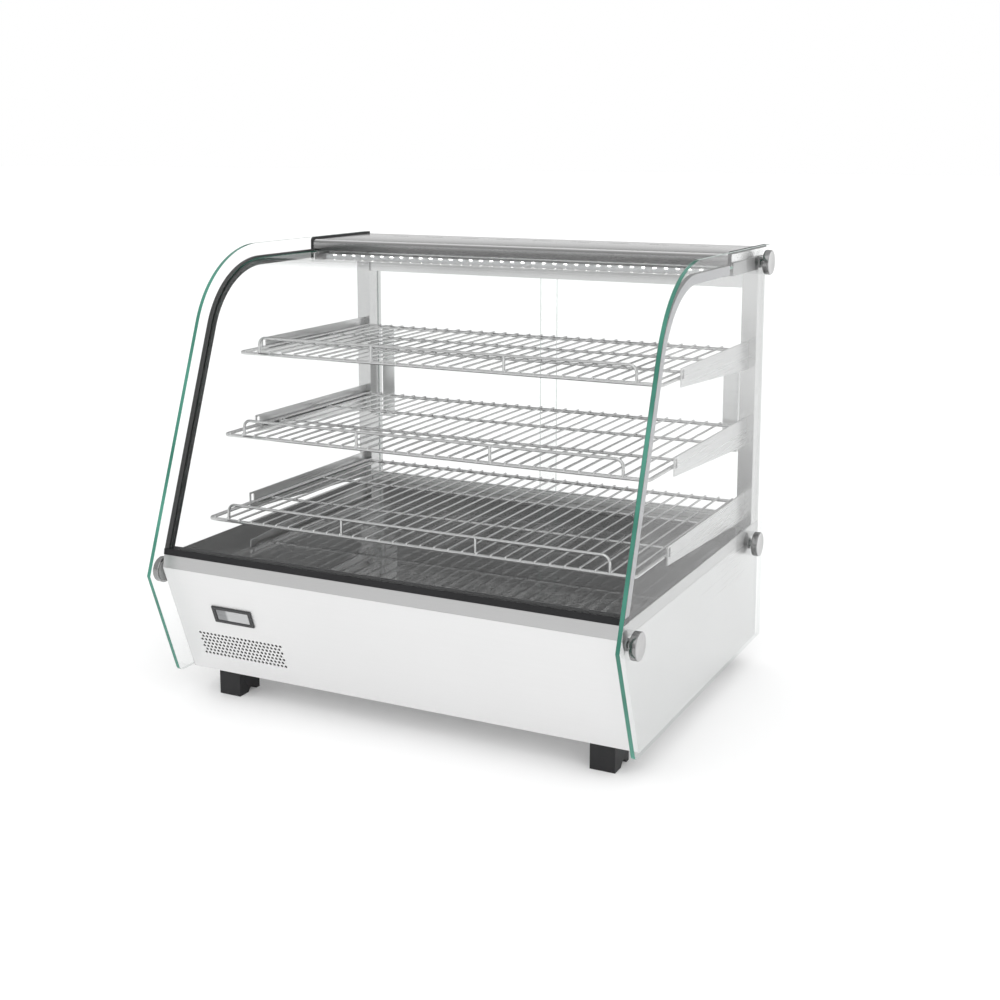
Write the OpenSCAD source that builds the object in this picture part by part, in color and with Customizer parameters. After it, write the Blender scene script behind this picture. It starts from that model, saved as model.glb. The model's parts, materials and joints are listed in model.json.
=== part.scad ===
// Countertop hot food display case: steel base on four feet, clear side plates,
// one curved front pane, three wire shelves, two rear sliding doors, LED light under the top.
// X runs along the width, -Y is the customer's side, Z = 0 is the table.

/* [Case] */
// Width over the two side glasses
case_w = 680; // [560:1:820]
// Depth from the rear plane to the foremost point of the side glass
case_d = 565; // [470:1:680]
// Height from the table to the top edge of the side glass
case_h = 620; // [600:1:760]

/* [Base] */
// Height of the feet
foot_h = 38; // [25:1:60]
// Height of the steel base, from the top of the feet to the display floor
base_h = 176; // [146:1:212]
// Height of the frame strip around the top of the base
strip_h = 17; // [12:1:25]
// Distance the front panel stands behind the side glass nose
front_setback = 25; // [15:1:35]
// Distance the front panel runs in from its top to its bottom
front_undercut = 61; // [30:1:80]
// Distance the strip leans back over its height
strip_lean = 3.5; // [0:0.5:8]
// Thickness of the sheet steel
sheet_t = 1.2; // [0.8:0.1:2]
// Thickness of the polished floor plate
floor_t = 1.8; // [1:0.1:3]

/* [Side glass] */
// Thickness of the side glass
glass_t = 6; // [4:0.5:8]
// Gap between the side glass and the steel base
glass_gap = 1; // [0.5:0.1:3]
// Drop of the side glass nose below the lower edge of the frame strip
nose_drop = 7; // [2:1:20]
// Distance the lower front edge of the side glass runs in below the nose
glass_undercut = 56; // [30:1:80]
// Lean of the front edge from the vertical, in degrees
lean = 20; // [10:1:25]
// Outer radius of the bend at the top of the front edge
bend_r = 150; // [110:1:180]
// Radius of the lower front corner
corner_r = 10; // [4:1:20]

/* [Front glass] */
// Thickness of the curved front glass
pane_t = 4; // [3:0.5:6]
// Depth of its outer face below the edge of the side glass
pane_inset = 20; // [16:1:30]
// Width of the edge trim, measured across the case
trim_w = 7; // [5:0.5:10]
// Thickness of the trim lip on each side of the glass
trim_lip = 7; // [4:0.5:10]
// Height of the gasket under the front glass
gasket_h = 8; // [5:0.5:12]
// Depth of the gasket under the front glass
gasket_d = 17; // [14:0.5:24]

/* [Top] */
// Depth of the top cover
cover_d = 166; // [120:1:200]
// Thickness of the rubber seal at each end of the cover
seal_t = 4.5; // [3:0.5:6]
// Pitch of the light-emitting diodes
led_pitch = 26; // [20:1:40]

/* [Shelves] */
// Height of the bottom shelf above the display floor
first_shelf = 34; // [30:1:60]
// Height from one shelf to the next
shelf_pitch = 111; // [95:1:120]
// Gap between the curved glass and the front of each shelf
shelf_gap = 61; // [40:1:80]
// Distance of the bottom brackets' ends behind the shelf front
bracket_setback = 99; // [60:1:120]
// Change in that distance from one shelf up to the next
bracket_step = -21; // [-25:1:0]
// Pitch of the shelf wires
wire_pitch = 20.4; // [14:0.1:30]
// Diameter of the shelf wires
wire_d = 3; // [2:0.1:4]
// Diameter of the shelf's frame wire
frame_wire_d = 5; // [4:0.1:6]
// Height of the gallery rail above the shelf
gallery_h = 25; // [15:1:35]
// Thickness of the bracket plate
bracket_t = 2; // [1.5:0.1:3]

/* [Rear] */
// Width of a rear post
post_w = 22.5; // [18:0.5:30]
// Depth of a rear post
post_d = 36; // [30:0.5:45]
// Thickness of a door pane
door_t = 4; // [3:0.5:4.5]
// Overlap of the two closed doors
door_overlap = 20; // [10:1:40]

/* [Controls] */
// Diameter of the thermostat knob
knob_d = 42; // [30:1:50]
// Distance the thermostat knob stands out of the rear panel
knob_out = 18; // [12:1:24]
// Diameter of the circulation fan rotor
fan_d = 108; // [80:1:115]

/* [Hidden] */
$fn = 48;

// Driving planes. The depth origin is the middle of the whole object, knob included.
back_y = (case_d - knob_out) / 2;
half_w = case_w / 2;
inner_half = half_w - glass_t;
base_half = inner_half - glass_gap;
base_top = foot_h + base_h;
strip_z = base_top - strip_h;
kink_y = back_y - case_d + front_setback;
strip_top_y = kink_y + strip_lean;
nose_z = strip_z - nose_drop;
front_low_y = kink_y + front_undercut;
nose_y = back_y - case_d;
panel_angle = atan(front_undercut / (strip_z - foot_h));
fit = 0.3;

// Curve of the front edge: a leaning line that runs into an arc and a flat top.
arc_z = case_h - bend_r;
line_top_z = arc_z + bend_r * sin(lean);
line_top_y = nose_y + (line_top_z - nose_z) * tan(lean);
arc_y = line_top_y + bend_r * cos(lean);
function lean_y(z, inset) = nose_y + (z - nose_z) * tan(lean) + inset / cos(lean);

// Top of the case
cover_top = case_h - 3;
cover_low = case_h - pane_inset;
frame_top = cover_low + 4;
cover_front_y = back_y - cover_d;
pane_top_z = case_h - pane_inset;
pane_end_y = cover_front_y + 14;
trim_end_y = cover_front_y - 3;
rail_low_z = pane_top_z - 14;
cover_half = inner_half - seal_t;

// Doors and posts
post_x = base_half - post_w;
post_front_y = back_y - post_d;
header_low_z = rail_low_z - 27;
track_h = 8;
track_y = post_front_y + 3;
track_d = post_d - 6;
groove = door_t + 2 * fit;
lane_gap = 12;
lane_front_y = back_y - post_d / 2 - lane_gap / 2 - groove / 2;
lane_rear_y = back_y - post_d / 2 + lane_gap / 2 + groove / 2;
door_w = post_x - fit + door_overlap / 2;
door_seat = 3;
door_low_z = base_top + door_seat + fit;
door_high_z = header_low_z + 8;
handle_w = 22;
handle_edge = 6;

// Fixings
stud_d = 8;
stud_clear = 0.4;
cap_d = 35;
cap_t = 9;
cap_chamfer = 1.5;
stud_in = 14;
nut_across = 12;
nut_t = 6.5;
washer_t = 1;
washer_d = cap_d - 5;
standoffs = [[kink_y + 16, strip_z - 8.5], [back_y - 44, strip_z - 8],
             [post_front_y + 9, case_h - 24]];

// Shelves
shelf_zs = [for (i = [0 : 2]) base_top + first_shelf + i * shelf_pitch];
function shelf_front(i) = lean_y(shelf_zs[i], pane_inset + pane_t) + shelf_gap;
function bracket_front(i) = shelf_front(i) + bracket_setback + i * bracket_step;
bracket_x = base_half - 13.5;
shelf_half = bracket_x - 1 - frame_wire_d / 2;
bracket_up = 13.5;
bracket_down = 11;
bracket_drop = 17;
seat_w = 9;
seat_t = 1.5;
seat_back = 12;
tab_h = 26;
notch_back = 3;
notch_d = 7;
notch_h = 12;
shelf_rear_y = post_front_y - 8;
gallery_half = shelf_half - 33;
gallery_inner = 100;
gallery_d = 4;
gallery_r = 10;
cross_d = 4;
wire_over = 2;
wire_z = (frame_wire_d + wire_d) / 2 - 0.8;

// Plan of the electrics, as distances from the rear plane
switch_z = foot_h + 72;
knob_x = 170;
power_x = 250;
light_x = 215;
gland_x = -255;
tray_z = strip_z - 47;
element_up = 26;
tray_front_y = kink_y + 44;
tray_rear_y = back_y - 70;
element_z = tray_z + element_up;
fan_y = (tray_front_y + tray_rear_y) / 2;
fan_h = 25;
fan_bore_d = fan_d + 4;
fan_top_z = tray_z - 3;

module along_x(from, to) {
  translate([from, 0, 0]) rotate([90, 0, 90]) linear_extrude(to - from) children();
}

// Points of an arc about (y, z), from one angle to the other.
function arc(y, z, r, from, to, steps) =
  [for (k = [0 : steps]) let (a = from + (to - from) * k / steps) [y + r * cos(a), z + r * sin(a)]];

// Front edge sunk by inset: up the leaning line from height low, then round to the flat top.
function front_curve(inset, low) =
  concat([[lean_y(low, inset), low]],
         arc(arc_y, arc_z, bend_r - inset, 180 - lean, 90, 35));

// Band of even thickness that follows the front edge, from height low to the plane y = rear.
module curved_band(inset, thickness, low, rear) {
  outer = concat(front_curve(inset, low), [[rear, case_h - inset]]);
  inner = concat(front_curve(inset + thickness, low), [[rear, case_h - inset - thickness]]);
  count = len(inner);
  polygon(concat(outer, [for (k = [1 : count]) inner[count - k]]));
}

module at_sides() {
  for (side = [-1, 1]) scale_x(side) children();
}

module scale_x(side) {
  if (side < 0) mirror([1, 0, 0]) children();
  else children();
}

// Places children on the slanted front panel: X across, Z up the panel, Y inwards,
// with the origin in the middle of the panel's upper edge.
module on_front_panel() {
  translate([0, kink_y, strip_z]) rotate([panel_angle, 0, 0]) children();
}

module hex_nut(bore, across, thick) {
  difference() {
    cylinder(d = across / cos(30), h = thick, $fn = 6);
    translate([0, 0, -1]) cylinder(d = bore, h = thick + 2);
  }
}

// ---------- base ----------

flange_w = 14;
foot_w = 34;
foot_d = 46;
foot_x = base_half - 52;
foot_front_y = front_low_y + 10;
foot_rear_y = back_y - 22 - foot_d;
foot_screw_d = 6;
foot_screw_back = 6;
intake_side = 7;
intake_pitch = 14;
intake_len = 70;
slot_w = 5;
function foot_places() = [for (x = [-foot_x, foot_x]) for (y = [foot_front_y, foot_rear_y])
                            [x, y + foot_d / 2]];

module bottom_plate() {
  color("silver") difference() {
    union() {
      translate([-base_half + sheet_t, front_low_y + 2 * sheet_t, foot_h])
        cube([2 * (base_half - sheet_t), back_y - front_low_y - 3 * sheet_t, sheet_t]);
      translate([-base_half + 2 * flange_w, back_y - 2 * sheet_t, foot_h])
        cube([2 * (base_half - 2 * flange_w), sheet_t, 2 * flange_w]);
    }
    screw_holes(screw_d + 0.1);
    for (p = foot_places())
      translate([p[0], p[1] - foot_screw_back, foot_h - 1])
        cylinder(d = foot_screw_d + stud_clear, h = 4);
    for (i = [-intake_side : intake_side])
      translate([i * intake_pitch - slot_w / 2, fan_y - intake_len / 2, foot_h - 1])
        cube([slot_w, intake_len, 4]);
  }
}

vent_left_x = -base_half + 29.5;
vent_top = 106;
vent_pitch_x = 6.3;
vent_pitch_z = 5.7;
vent_hole_d = 4.2;
vent_rows = 7;
vent_cols = 22;
bezel_left_x = -base_half + 65;
bezel_top = 53;
bezel_w = 64;
bezel_h = 27;
window_w = 52;
window_h = 17;
module_depth = 22;
bezel_lap = 3;
bezel_out = 2.5;
window_x = bezel_left_x + (bezel_w - window_w) / 2;
window_low = -bezel_top - (bezel_h + window_h) / 2;
window_t = 1.6;
window_fit = 0.1;
module_in = bezel_lap + 0.2;
panel_fold = 16;

module front_panel() {
  slope = sheet_t / cos(panel_angle);
  color("gainsboro") difference() {
    along_x(-base_half + sheet_t, base_half - sheet_t) union() {
      polygon([[front_low_y, foot_h], [kink_y, strip_z],
               [kink_y + slope, strip_z], [front_low_y + slope, foot_h]]);
      polygon([[kink_y, strip_z], [kink_y + panel_fold, strip_z],
               [kink_y + panel_fold, strip_z - sheet_t], [kink_y + 0.4, strip_z - sheet_t]]);
    }
    on_front_panel() {
      for (row = [0 : vent_rows - 1]) for (col = [0 : vent_cols - 1 - row % 2])
        translate([vent_left_x + (col + (row % 2) / 2) * vent_pitch_x, -2,
                   -vent_top - row * vent_pitch_z])
          rotate([-90, 0, 0]) cylinder(d = vent_hole_d, h = 6, $fn = 16);
      translate([bezel_left_x + bezel_lap, -2, -bezel_top - bezel_h + bezel_lap])
        cube([bezel_w - 2 * bezel_lap, 6, bezel_h - 2 * bezel_lap]);
    }
  }
}

module side_panel() {
  color("gainsboro") difference() {
    union() {
      along_x(base_half - sheet_t, base_half)
        polygon([[front_low_y, foot_h], [kink_y, strip_z], [back_y, strip_z], [back_y, foot_h]]);
      translate([base_half - sheet_t - flange_w, back_y - 2 * sheet_t, foot_h + sheet_t])
        cube([flange_w + 0.1, sheet_t, strip_z - foot_h - sheet_t]);
    }
    screw_holes(screw_d + 0.1);
    for (i = [0, 1]) translate([base_half - 5, standoffs[i][0], standoffs[i][1]])
      rotate([0, 90, 0]) cylinder(d = stud_d + stud_clear, h = 10);
  }
}

outlet_x = -150;
outlet_count = 10;
outlet_pitch = 12;
outlet_len = 50;
module rear_cut_outs() {
  translate([knob_x, back_y - 5, switch_z]) rotate([-90, 0, 0])
    cylinder(d = shaft_d + 2, h = 10);
  for (x = [power_x, light_x])
    translate([x - rocker_body_w / 2, back_y - 5, switch_z - rocker_body_h / 2])
      cube([rocker_body_w, 10, rocker_body_h]);
  translate([gland_x, back_y - 5, gland_z]) rotate([-90, 0, 0])
    cylinder(d = gland_thread_d + stud_clear, h = 10);
  for (i = [0 : outlet_count - 1])
    translate([outlet_x + i * outlet_pitch, back_y - 5, switch_z - outlet_len / 2])
      cube([slot_w, 10, outlet_len]);
}

module rear_panel() {
  color("silver") difference() {
    translate([-base_half + sheet_t, back_y - sheet_t, foot_h])
      cube([2 * (base_half - sheet_t), sheet_t, strip_z - foot_h]);
    rear_cut_outs();
    screw_holes(screw_d + stud_clear);
  }
}

// Frame around the top of the base: a strip outside and a ledge for the floor plate inside.
ledge_w = 18;
module top_ring() {
  inner = base_half - sheet_t;
  color("silver") difference() {
    along_x(-base_half, base_half)
      polygon([[kink_y, strip_z], [strip_top_y, base_top], [back_y, base_top], [back_y, strip_z]]);
    translate([-inner, strip_top_y + sheet_t, base_top - floor_t])
      cube([2 * inner, back_y - strip_top_y - 2 * sheet_t, floor_t + 1]);
    translate([-inner, strip_top_y + sheet_t, strip_z - 1])
      cube([2 * inner, back_y - strip_top_y - 2 * sheet_t,
            strip_h - floor_t - sheet_t + 1]);
    translate([-inner + ledge_w, strip_top_y + sheet_t + ledge_w, strip_z - 1])
      cube([2 * (inner - ledge_w), back_y - strip_top_y - 2 * sheet_t - 2 * ledge_w,
            strip_h + 2]);
  }
}

slot_pitch = 26;
slot_len = 18;
slot_y = back_y - 80;
slot_count = floor(2 * (base_half - 40) / slot_pitch);
module floor_plate() {
  half = base_half - sheet_t - fit / 2;
  color("dimgray") difference() {
    translate([-half, strip_top_y + sheet_t + fit / 2, base_top - floor_t])
      cube([2 * half, back_y - strip_top_y - 2 * sheet_t - fit, floor_t]);
    for (i = [0 : slot_count - 1])
      translate([(i - (slot_count - 1) / 2) * slot_pitch - slot_len / 2, slot_y, base_top - 5])
        cube([slot_len, slot_w, 10]);
  }
}

module front_gasket() {
  low = base_top;
  groove_fit = 0.2;
  gasket_lean = 1.5;
  color("dimgray") difference() {
    along_x(-inner_half + fit, inner_half - fit)
      polygon([[strip_top_y, low], [strip_top_y + gasket_lean, low + gasket_h],
               [strip_top_y + gasket_d, low + gasket_h], [strip_top_y + gasket_d, low]]);
    along_x(-pane_half - 1, pane_half + 1)
      curved_band(pane_inset - groove_fit, pane_t + 2 * groove_fit, low + pane_seat, arc_y);
  }
}

// ---------- glass ----------

pane_seat = 3;
pane_half = inner_half - 2;

module side_glass() {
  low = foot_h + 2;
  toe_y = nose_y + glass_undercut;
  slope = atan((nose_z - low) / glass_undercut);
  reach = corner_r * tan(slope / 2);
  corner = arc(toe_y + reach, low + corner_r, corner_r, 270, 270 - slope, 6);
  color("lightcyan", 0.4) difference() {
    along_x(inner_half, half_w)
      polygon(concat(corner, front_curve(0, nose_z), [[back_y, case_h], [back_y, low]]));
    for (s = standoffs) translate([inner_half - 5, s[0], s[1]])
      rotate([0, 90, 0]) cylinder(d = stud_d + 2, h = glass_t + 10);
  }
}

module front_glass() {
  color("lightcyan", 0.4) along_x(-pane_half, pane_half)
    curved_band(pane_inset, pane_t, base_top + pane_seat, pane_end_y);
}

module front_trim() {
  clear = 0.15;
  outer_lip = 2;
  color([0.25, 0.25, 0.26]) difference() {
    along_x(inner_half - trim_w, inner_half - 0.1)
      curved_band(pane_inset - outer_lip, outer_lip + pane_t + trim_lip, base_top + gasket_h,
                  trim_end_y);
    along_x(-pane_half - 1, pane_half + clear)
      curved_band(pane_inset - clear, pane_t + 2 * clear, base_top, cover_front_y + 20);
  }
}

// Studs with polished caps that clamp the side glass to the base and the rear posts.
module standoff_caps() {
  color("silver") at_sides() for (s = standoffs)
    translate([half_w + washer_t, s[0], s[1]]) rotate([0, 90, 0]) {
      cylinder(d = cap_d, h = cap_t - cap_chamfer);
      translate([0, 0, cap_t - cap_chamfer])
        cylinder(d1 = cap_d, d2 = cap_d - 2 * cap_chamfer, h = cap_chamfer);
      translate([0, 0, -washer_t - glass_t - glass_gap - stud_in])
        cylinder(d = stud_d, h = washer_t + glass_t + glass_gap + stud_in + 1);
    }
}

module standoff_washers() {
  color([0.2, 0.2, 0.2]) at_sides() for (s = standoffs) {
    translate([half_w, s[0], s[1]]) rotate([0, 90, 0]) ring(washer_d, stud_d + 1, washer_t);
    translate([base_half, s[0], s[1]]) rotate([0, 90, 0])
      ring(2 * stud_d, stud_d + 1, glass_gap);
  }
}

module ring(outer, bore, thick) {
  difference() {
    cylinder(d = outer, h = thick);
    translate([0, 0, -1]) cylinder(d = bore, h = thick + 2);
  }
}

module standoff_nuts() {
  color("silver") at_sides() for (i = [0 : 2]) let (s = standoffs[i])
    translate([base_half - (i == 2 ? post_wall : sheet_t) - nut_t, s[0], s[1]])
      rotate([0, 90, 0]) hex_nut(stud_d + 0.1, nut_across, nut_t);
}

// ---------- top ----------

bend = 5;
seal_proud = 3;
seal_flange = 4;
cover_slot_len = 30;
cover_slot_w = 4;
cover_slot_pitch = 62;
cover_slot_y = back_y - 45;
cover_slot_count = floor((2 * cover_half - cover_slot_pitch) / cover_slot_pitch);
function cover_outline(inset, low_front, low_rear) =
  concat([[cover_front_y + inset, low_front]],
         arc(cover_front_y + bend, cover_top - bend, bend - inset, 180, 90, 6),
         arc(back_y - bend, cover_top - bend, bend - inset, 90, 0, 6),
         [[back_y - inset, low_rear]]);

module top_cover() {
  t = sheet_t;
  color("silver") difference() {
    along_x(-cover_half, cover_half) polygon(cover_outline(0, cover_low, frame_top + 0.1));
    along_x(-cover_half + t, cover_half - t) polygon(cover_outline(t, cover_low - 5, cover_low - 5));
    for (side = [-1, 1]) translate([side < 0 ? -cover_half - 1 : cover_half - t - 1,
                                    cover_front_y + t, cover_low - 5])
      cube([t + 2, cover_d - 2 * t, frame_top - cover_low + 5]);
    for (i = [0 : cover_slot_count - 1])
      translate([(i - (cover_slot_count - 1) / 2) * cover_slot_pitch - cover_slot_len / 2,
                 cover_slot_y, cover_top - 5])
        cube([cover_slot_len, cover_slot_w, 10]);
  }
}

// Rubber strip over each end of the cover: along its top and down its front edge.
module cover_seal() {
  r = 6;
  thick = seal_flange;
  top = cover_top + seal_proud;
  front = cover_front_y - 1;
  color([0.15, 0.15, 0.15]) along_x(cover_half, inner_half - 0.1)
    polygon(concat([[front, cover_low]],
                   arc(front + r, top - r, r, 180, 90, 6),
                   [[back_y, top], [back_y, top - thick]],
                   arc(front + r, top - r, r - thick, 90, 180, 2),
                   [[front + thick, cover_low]]));
}

post_wall = 1.5;
module rear_post() {
  top = frame_top;
  color("lightgray") difference() {
    translate([post_x, post_front_y, base_top]) cube([post_w, post_d, top - base_top]);
    translate([post_x + post_wall, post_front_y + post_wall, base_top - 1])
      cube([post_w - 2 * post_wall, post_d - 2 * post_wall, top - base_top + 2]);
    translate([base_half - 5, standoffs[2][0], standoffs[2][1]])
      rotate([0, 90, 0]) cylinder(d = stud_d + stud_clear, h = 10);
  }
}

module top_rail() {
  color("lightgray") {
    translate([post_x, pane_end_y + 1, rail_low_z])
      cube([post_w, post_front_y - pane_end_y - 1, frame_top - rail_low_z]);
    translate([post_x, trim_end_y + 1, rail_low_z])
      cube([post_w - trim_w, pane_end_y - trim_end_y + 5,
            pane_top_z - pane_t - 0.2 - rail_low_z]);
  }
}

led_d = 26;
led_h = 10;
led_wall = 1.5;
board_t = 1;
board_h = 7;
diode_w = 5;
diode_h = 3.5;
diode_out = 1.2;
lens_t = 2;
led_y = cover_front_y + 3;
led_top_z = pane_top_z - pane_t - fit;

module led_housing() {
  color("whitesmoke") difference() {
    translate([-post_x, led_y, led_top_z - led_h]) cube([2 * post_x, led_d, led_h]);
    translate([-post_x - 1, led_y + led_wall, led_top_z - led_h - 1])
      cube([2 * post_x + 2, led_d - 2 * led_wall, led_h - led_wall + 1]);
  }
}

// Circuit strip on the front face of the housing, with a row of diodes.
module led_strip() {
  half = post_x - 3;
  count = floor((2 * half - 20) / led_pitch);
  color("white") {
    translate([-half, led_y - board_t, led_top_z - board_h - 0.5]) cube([2 * half, board_t, board_h]);
    for (i = [0 : count])
      translate([(i - count / 2) * led_pitch - diode_w / 2, led_y - board_t - diode_out,
                 led_top_z - board_h / 2 - diode_h / 2 - 0.25])
        cube([diode_w, diode_out + board_t / 2, diode_h]);
  }
}

module led_lens() {
  color("white", 0.6) translate([-post_x, led_y + led_wall + 0.2, led_top_z - led_h])
    cube([2 * post_x, led_d - 2 * led_wall - 0.4, lens_t]);
}

// ---------- rear doors ----------

// Bar between the posts with two grooves, one for each door.
module track(low, high, groove_low, groove_high) {
  color("silver") difference() {
    translate([-post_x, track_y, low]) cube([2 * post_x, track_d, high - low]);
    for (y = [lane_front_y, lane_rear_y])
      translate([-post_x - 1, y - groove / 2, groove_low])
        cube([2 * post_x + 2, groove, groove_high - groove_low]);
  }
}

module door_track_upper() {
  track(header_low_z, frame_top, header_low_z - 1, door_high_z + 2);
}

module door_track_lower() {
  track(base_top, base_top + track_h, base_top + door_seat, base_top + track_h + 1);
}

module door_pane(left, y) {
  color("lightcyan", 0.4) translate([left, y - door_t / 2, door_low_z])
    cube([door_w, door_t, door_high_z - door_low_z]);
}

// Folded pull that runs down the outer edge of a door, with a finger gap behind its lip.
handle_out = 9;
handle_len = 150;
handle_t = 1.5;
finger_gap = 6;
module door_handle(edge, side, y) {
  z = (door_low_z + door_high_z) / 2 - handle_len / 2;
  t = handle_t;
  color("silver") translate([edge, y + door_t / 2, z]) scale_x(side) {
    cube([handle_w, t, handle_len]);
    cube([t, handle_out, handle_len]);
    translate([0, handle_out - t, 0]) cube([handle_w - finger_gap, t, handle_len]);
  }
}

// ---------- shelves ----------

module shelf(i) {
  z = shelf_zs[i];
  front = shelf_front(i);
  depth = shelf_rear_y - front;
  count = floor((shelf_half - 6) / wire_pitch);
  color("gainsboro") translate([0, 0, z]) {
    for (y = [front, shelf_rear_y])
      translate([-shelf_half - frame_wire_d / 2, y, 0]) rotate([0, 90, 0])
        cylinder(d = frame_wire_d, h = 2 * shelf_half + frame_wire_d, $fn = 12);
    for (x = [-shelf_half, shelf_half])
      translate([x, front, 0]) rotate([-90, 0, 0]) cylinder(d = frame_wire_d, h = depth, $fn = 12);
    for (y = [front + depth / 3, front + depth * 2 / 3])
      translate([-shelf_half, y, 0]) rotate([0, 90, 0])
        cylinder(d = cross_d, h = 2 * shelf_half, $fn = 12);
    for (k = [-count : count])
      translate([k * wire_pitch, front - wire_over, wire_z]) rotate([-90, 0, 0])
        cylinder(d = wire_d, h = depth + 2 * wire_over, $fn = 8);
    gallery(front);
  }
}

module gallery(front) {
  r = gallery_r;
  high = gallery_h - gallery_d / 2;
  translate([-gallery_half + r, front, high]) rotate([0, 90, 0])
    cylinder(d = gallery_d, h = 2 * (gallery_half - r));
  for (side = [-1, 1]) {
    translate([side * gallery_half, front, 0]) cylinder(d = gallery_d, h = high - r);
    translate([side * gallery_inner, front, 0]) cylinder(d = gallery_d, h = high);
    translate([side * (gallery_half - r), front, high - r]) rotate([90, 0, 0])
      rotate([0, 0, side < 0 ? 90 : 0]) rotate_extrude(angle = 90)
        translate([r, 0]) circle(d = gallery_d, $fn = 24);
  }
}

// Cantilever plate with a seat for the shelf, screwed to the front of a rear post.
module bracket(i) {
  z = shelf_zs[i];
  front = bracket_front(i);
  low = z - bracket_down;
  seat = z - frame_wire_d / 2 - 0.3;
  color("lightgray") difference() {
    union() {
      along_x(bracket_x, bracket_x + bracket_t)
        polygon([[front, low], [front, z + bracket_up], [post_front_y, z + bracket_up],
                 [post_front_y, low - bracket_drop]]);
      translate([bracket_x - seat_w, front + seat_back, seat - seat_t])
        cube([seat_w + bracket_t / 2, post_front_y - front - seat_back, seat_t]);
      translate([bracket_x - seat_w, post_front_y - bracket_t, seat - tab_h])
        cube([seat_w + bracket_t / 2, bracket_t, tab_h]);
    }
    translate([bracket_x - 5, front + notch_back, z - 1]) cube([10, notch_d, notch_h]);
  }
}

// ---------- feet and fasteners ----------

foot_arch_d = 19;
foot_arch_y = 6;
foot_well_d = 13;
foot_well_h = foot_h - 18;
bolt_head_d = 11;
bolt_head_h = 4;
bolt_nut_across = 10;
bolt_nut_t = 5;
bolt_past = 5.8;
module feet() {
  color([0.22, 0.22, 0.22]) for (p = foot_places()) translate([p[0], p[1], 0]) difference() {
    translate([-foot_w / 2, -foot_d / 2, 0]) cube([foot_w, foot_d, foot_h]);
    translate([-foot_w, foot_arch_y, -3]) rotate([0, 90, 0])
      cylinder(d = foot_arch_d, h = 2 * foot_w);
    translate([0, -foot_screw_back, -1]) cylinder(d = foot_well_d, h = foot_well_h + bolt_head_h + 1);
    translate([0, -foot_screw_back, -1]) cylinder(d = foot_screw_d + stud_clear, h = foot_h + 2);
  }
}

module foot_screws() {
  color("silver") for (p = foot_places()) translate([p[0], p[1] - foot_screw_back, 0]) {
    translate([0, 0, foot_well_h]) cylinder(d = bolt_head_d, h = bolt_head_h);
    translate([0, 0, foot_well_h])
      cylinder(d = foot_screw_d, h = foot_h + sheet_t + bolt_nut_t + bolt_past - foot_well_h);
    translate([0, 0, foot_h + sheet_t]) hex_nut(foot_screw_d - 0.2, bolt_nut_across, bolt_nut_t);
  }
}

screw_d = 4;
screw_head_d = 8;
screw_head_h = 2.2;
screw_in = 6;
screw_x = base_half - sheet_t - flange_w / 2;
function rear_screw_places() = [
  for (x = [-screw_x, screw_x]) for (z = [foot_h + flange_w, strip_z - flange_w]) [x, z],
  for (x = [-screw_x / 3, screw_x / 3]) [x, foot_h + flange_w]];

module screw_holes(d) {
  for (p = rear_screw_places())
    translate([p[0], back_y - 8, p[1]]) rotate([-90, 0, 0]) cylinder(d = d, h = 16);
}

module panel_screws() {
  color("silver") for (p = rear_screw_places())
    translate([p[0], back_y, p[1]]) rotate([-90, 0, 0]) {
      cylinder(d = screw_head_d, h = screw_head_h);
      translate([0, 0, -screw_in]) cylinder(d = screw_d, h = screw_in + 1);
    }
}

// ---------- display on the front panel ----------

module display_bezel() {
  color([0.15, 0.15, 0.15]) on_front_panel() difference() {
    translate([bezel_left_x, -bezel_out, -bezel_top - bezel_h])
      cube([bezel_w, bezel_out, bezel_h]);
    translate([window_x, -5, window_low]) cube([window_w, 10, window_h]);
  }
}

module display_window() {
  color([0.35, 0.37, 0.38], 0.8) on_front_panel()
    translate([window_x + window_fit, -window_t, window_low + window_fit])
      cube([window_w - 2 * window_fit, window_t, window_h - 2 * window_fit]);
}

module display_module() {
  color([0.2, 0.2, 0.2]) on_front_panel()
    translate([bezel_left_x + module_in, 0, -bezel_top - bezel_h + module_in])
      cube([bezel_w - 2 * module_in, module_depth, bezel_h - 2 * module_in]);
}

// ---------- rear controls ----------

rocker_body_w = 19;
rocker_body_h = 28;
rocker_tilt = 8;
module switch_body(x) {
  flange = 2;
  body_in = 22;
  color([0.12, 0.12, 0.12]) difference() {
    union() {
      translate([x - rocker_body_w / 2 - flange, back_y, switch_z - rocker_body_h / 2 - flange])
        cube([rocker_body_w + 2 * flange, flange, rocker_body_h + 2 * flange]);
      translate([x - rocker_body_w / 2 + 0.2, back_y - body_in, switch_z - rocker_body_h / 2 + 0.2])
        cube([rocker_body_w - 0.4, body_in + 0.1, rocker_body_h - 0.4]);
    }
    translate([x - rocker_w / 2 - 0.4, back_y - 12, switch_z - rocker_h / 2 - 0.8])
      cube([rocker_w + 0.8, 20, rocker_h + 1.6]);
    translate([x - rocker_w / 2 - 1.5, back_y - rocker_in, switch_z]) rotate([0, 90, 0])
      cylinder(d = rocker_pin_d + 0.1, h = rocker_w + 3);
  }
}

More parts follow.
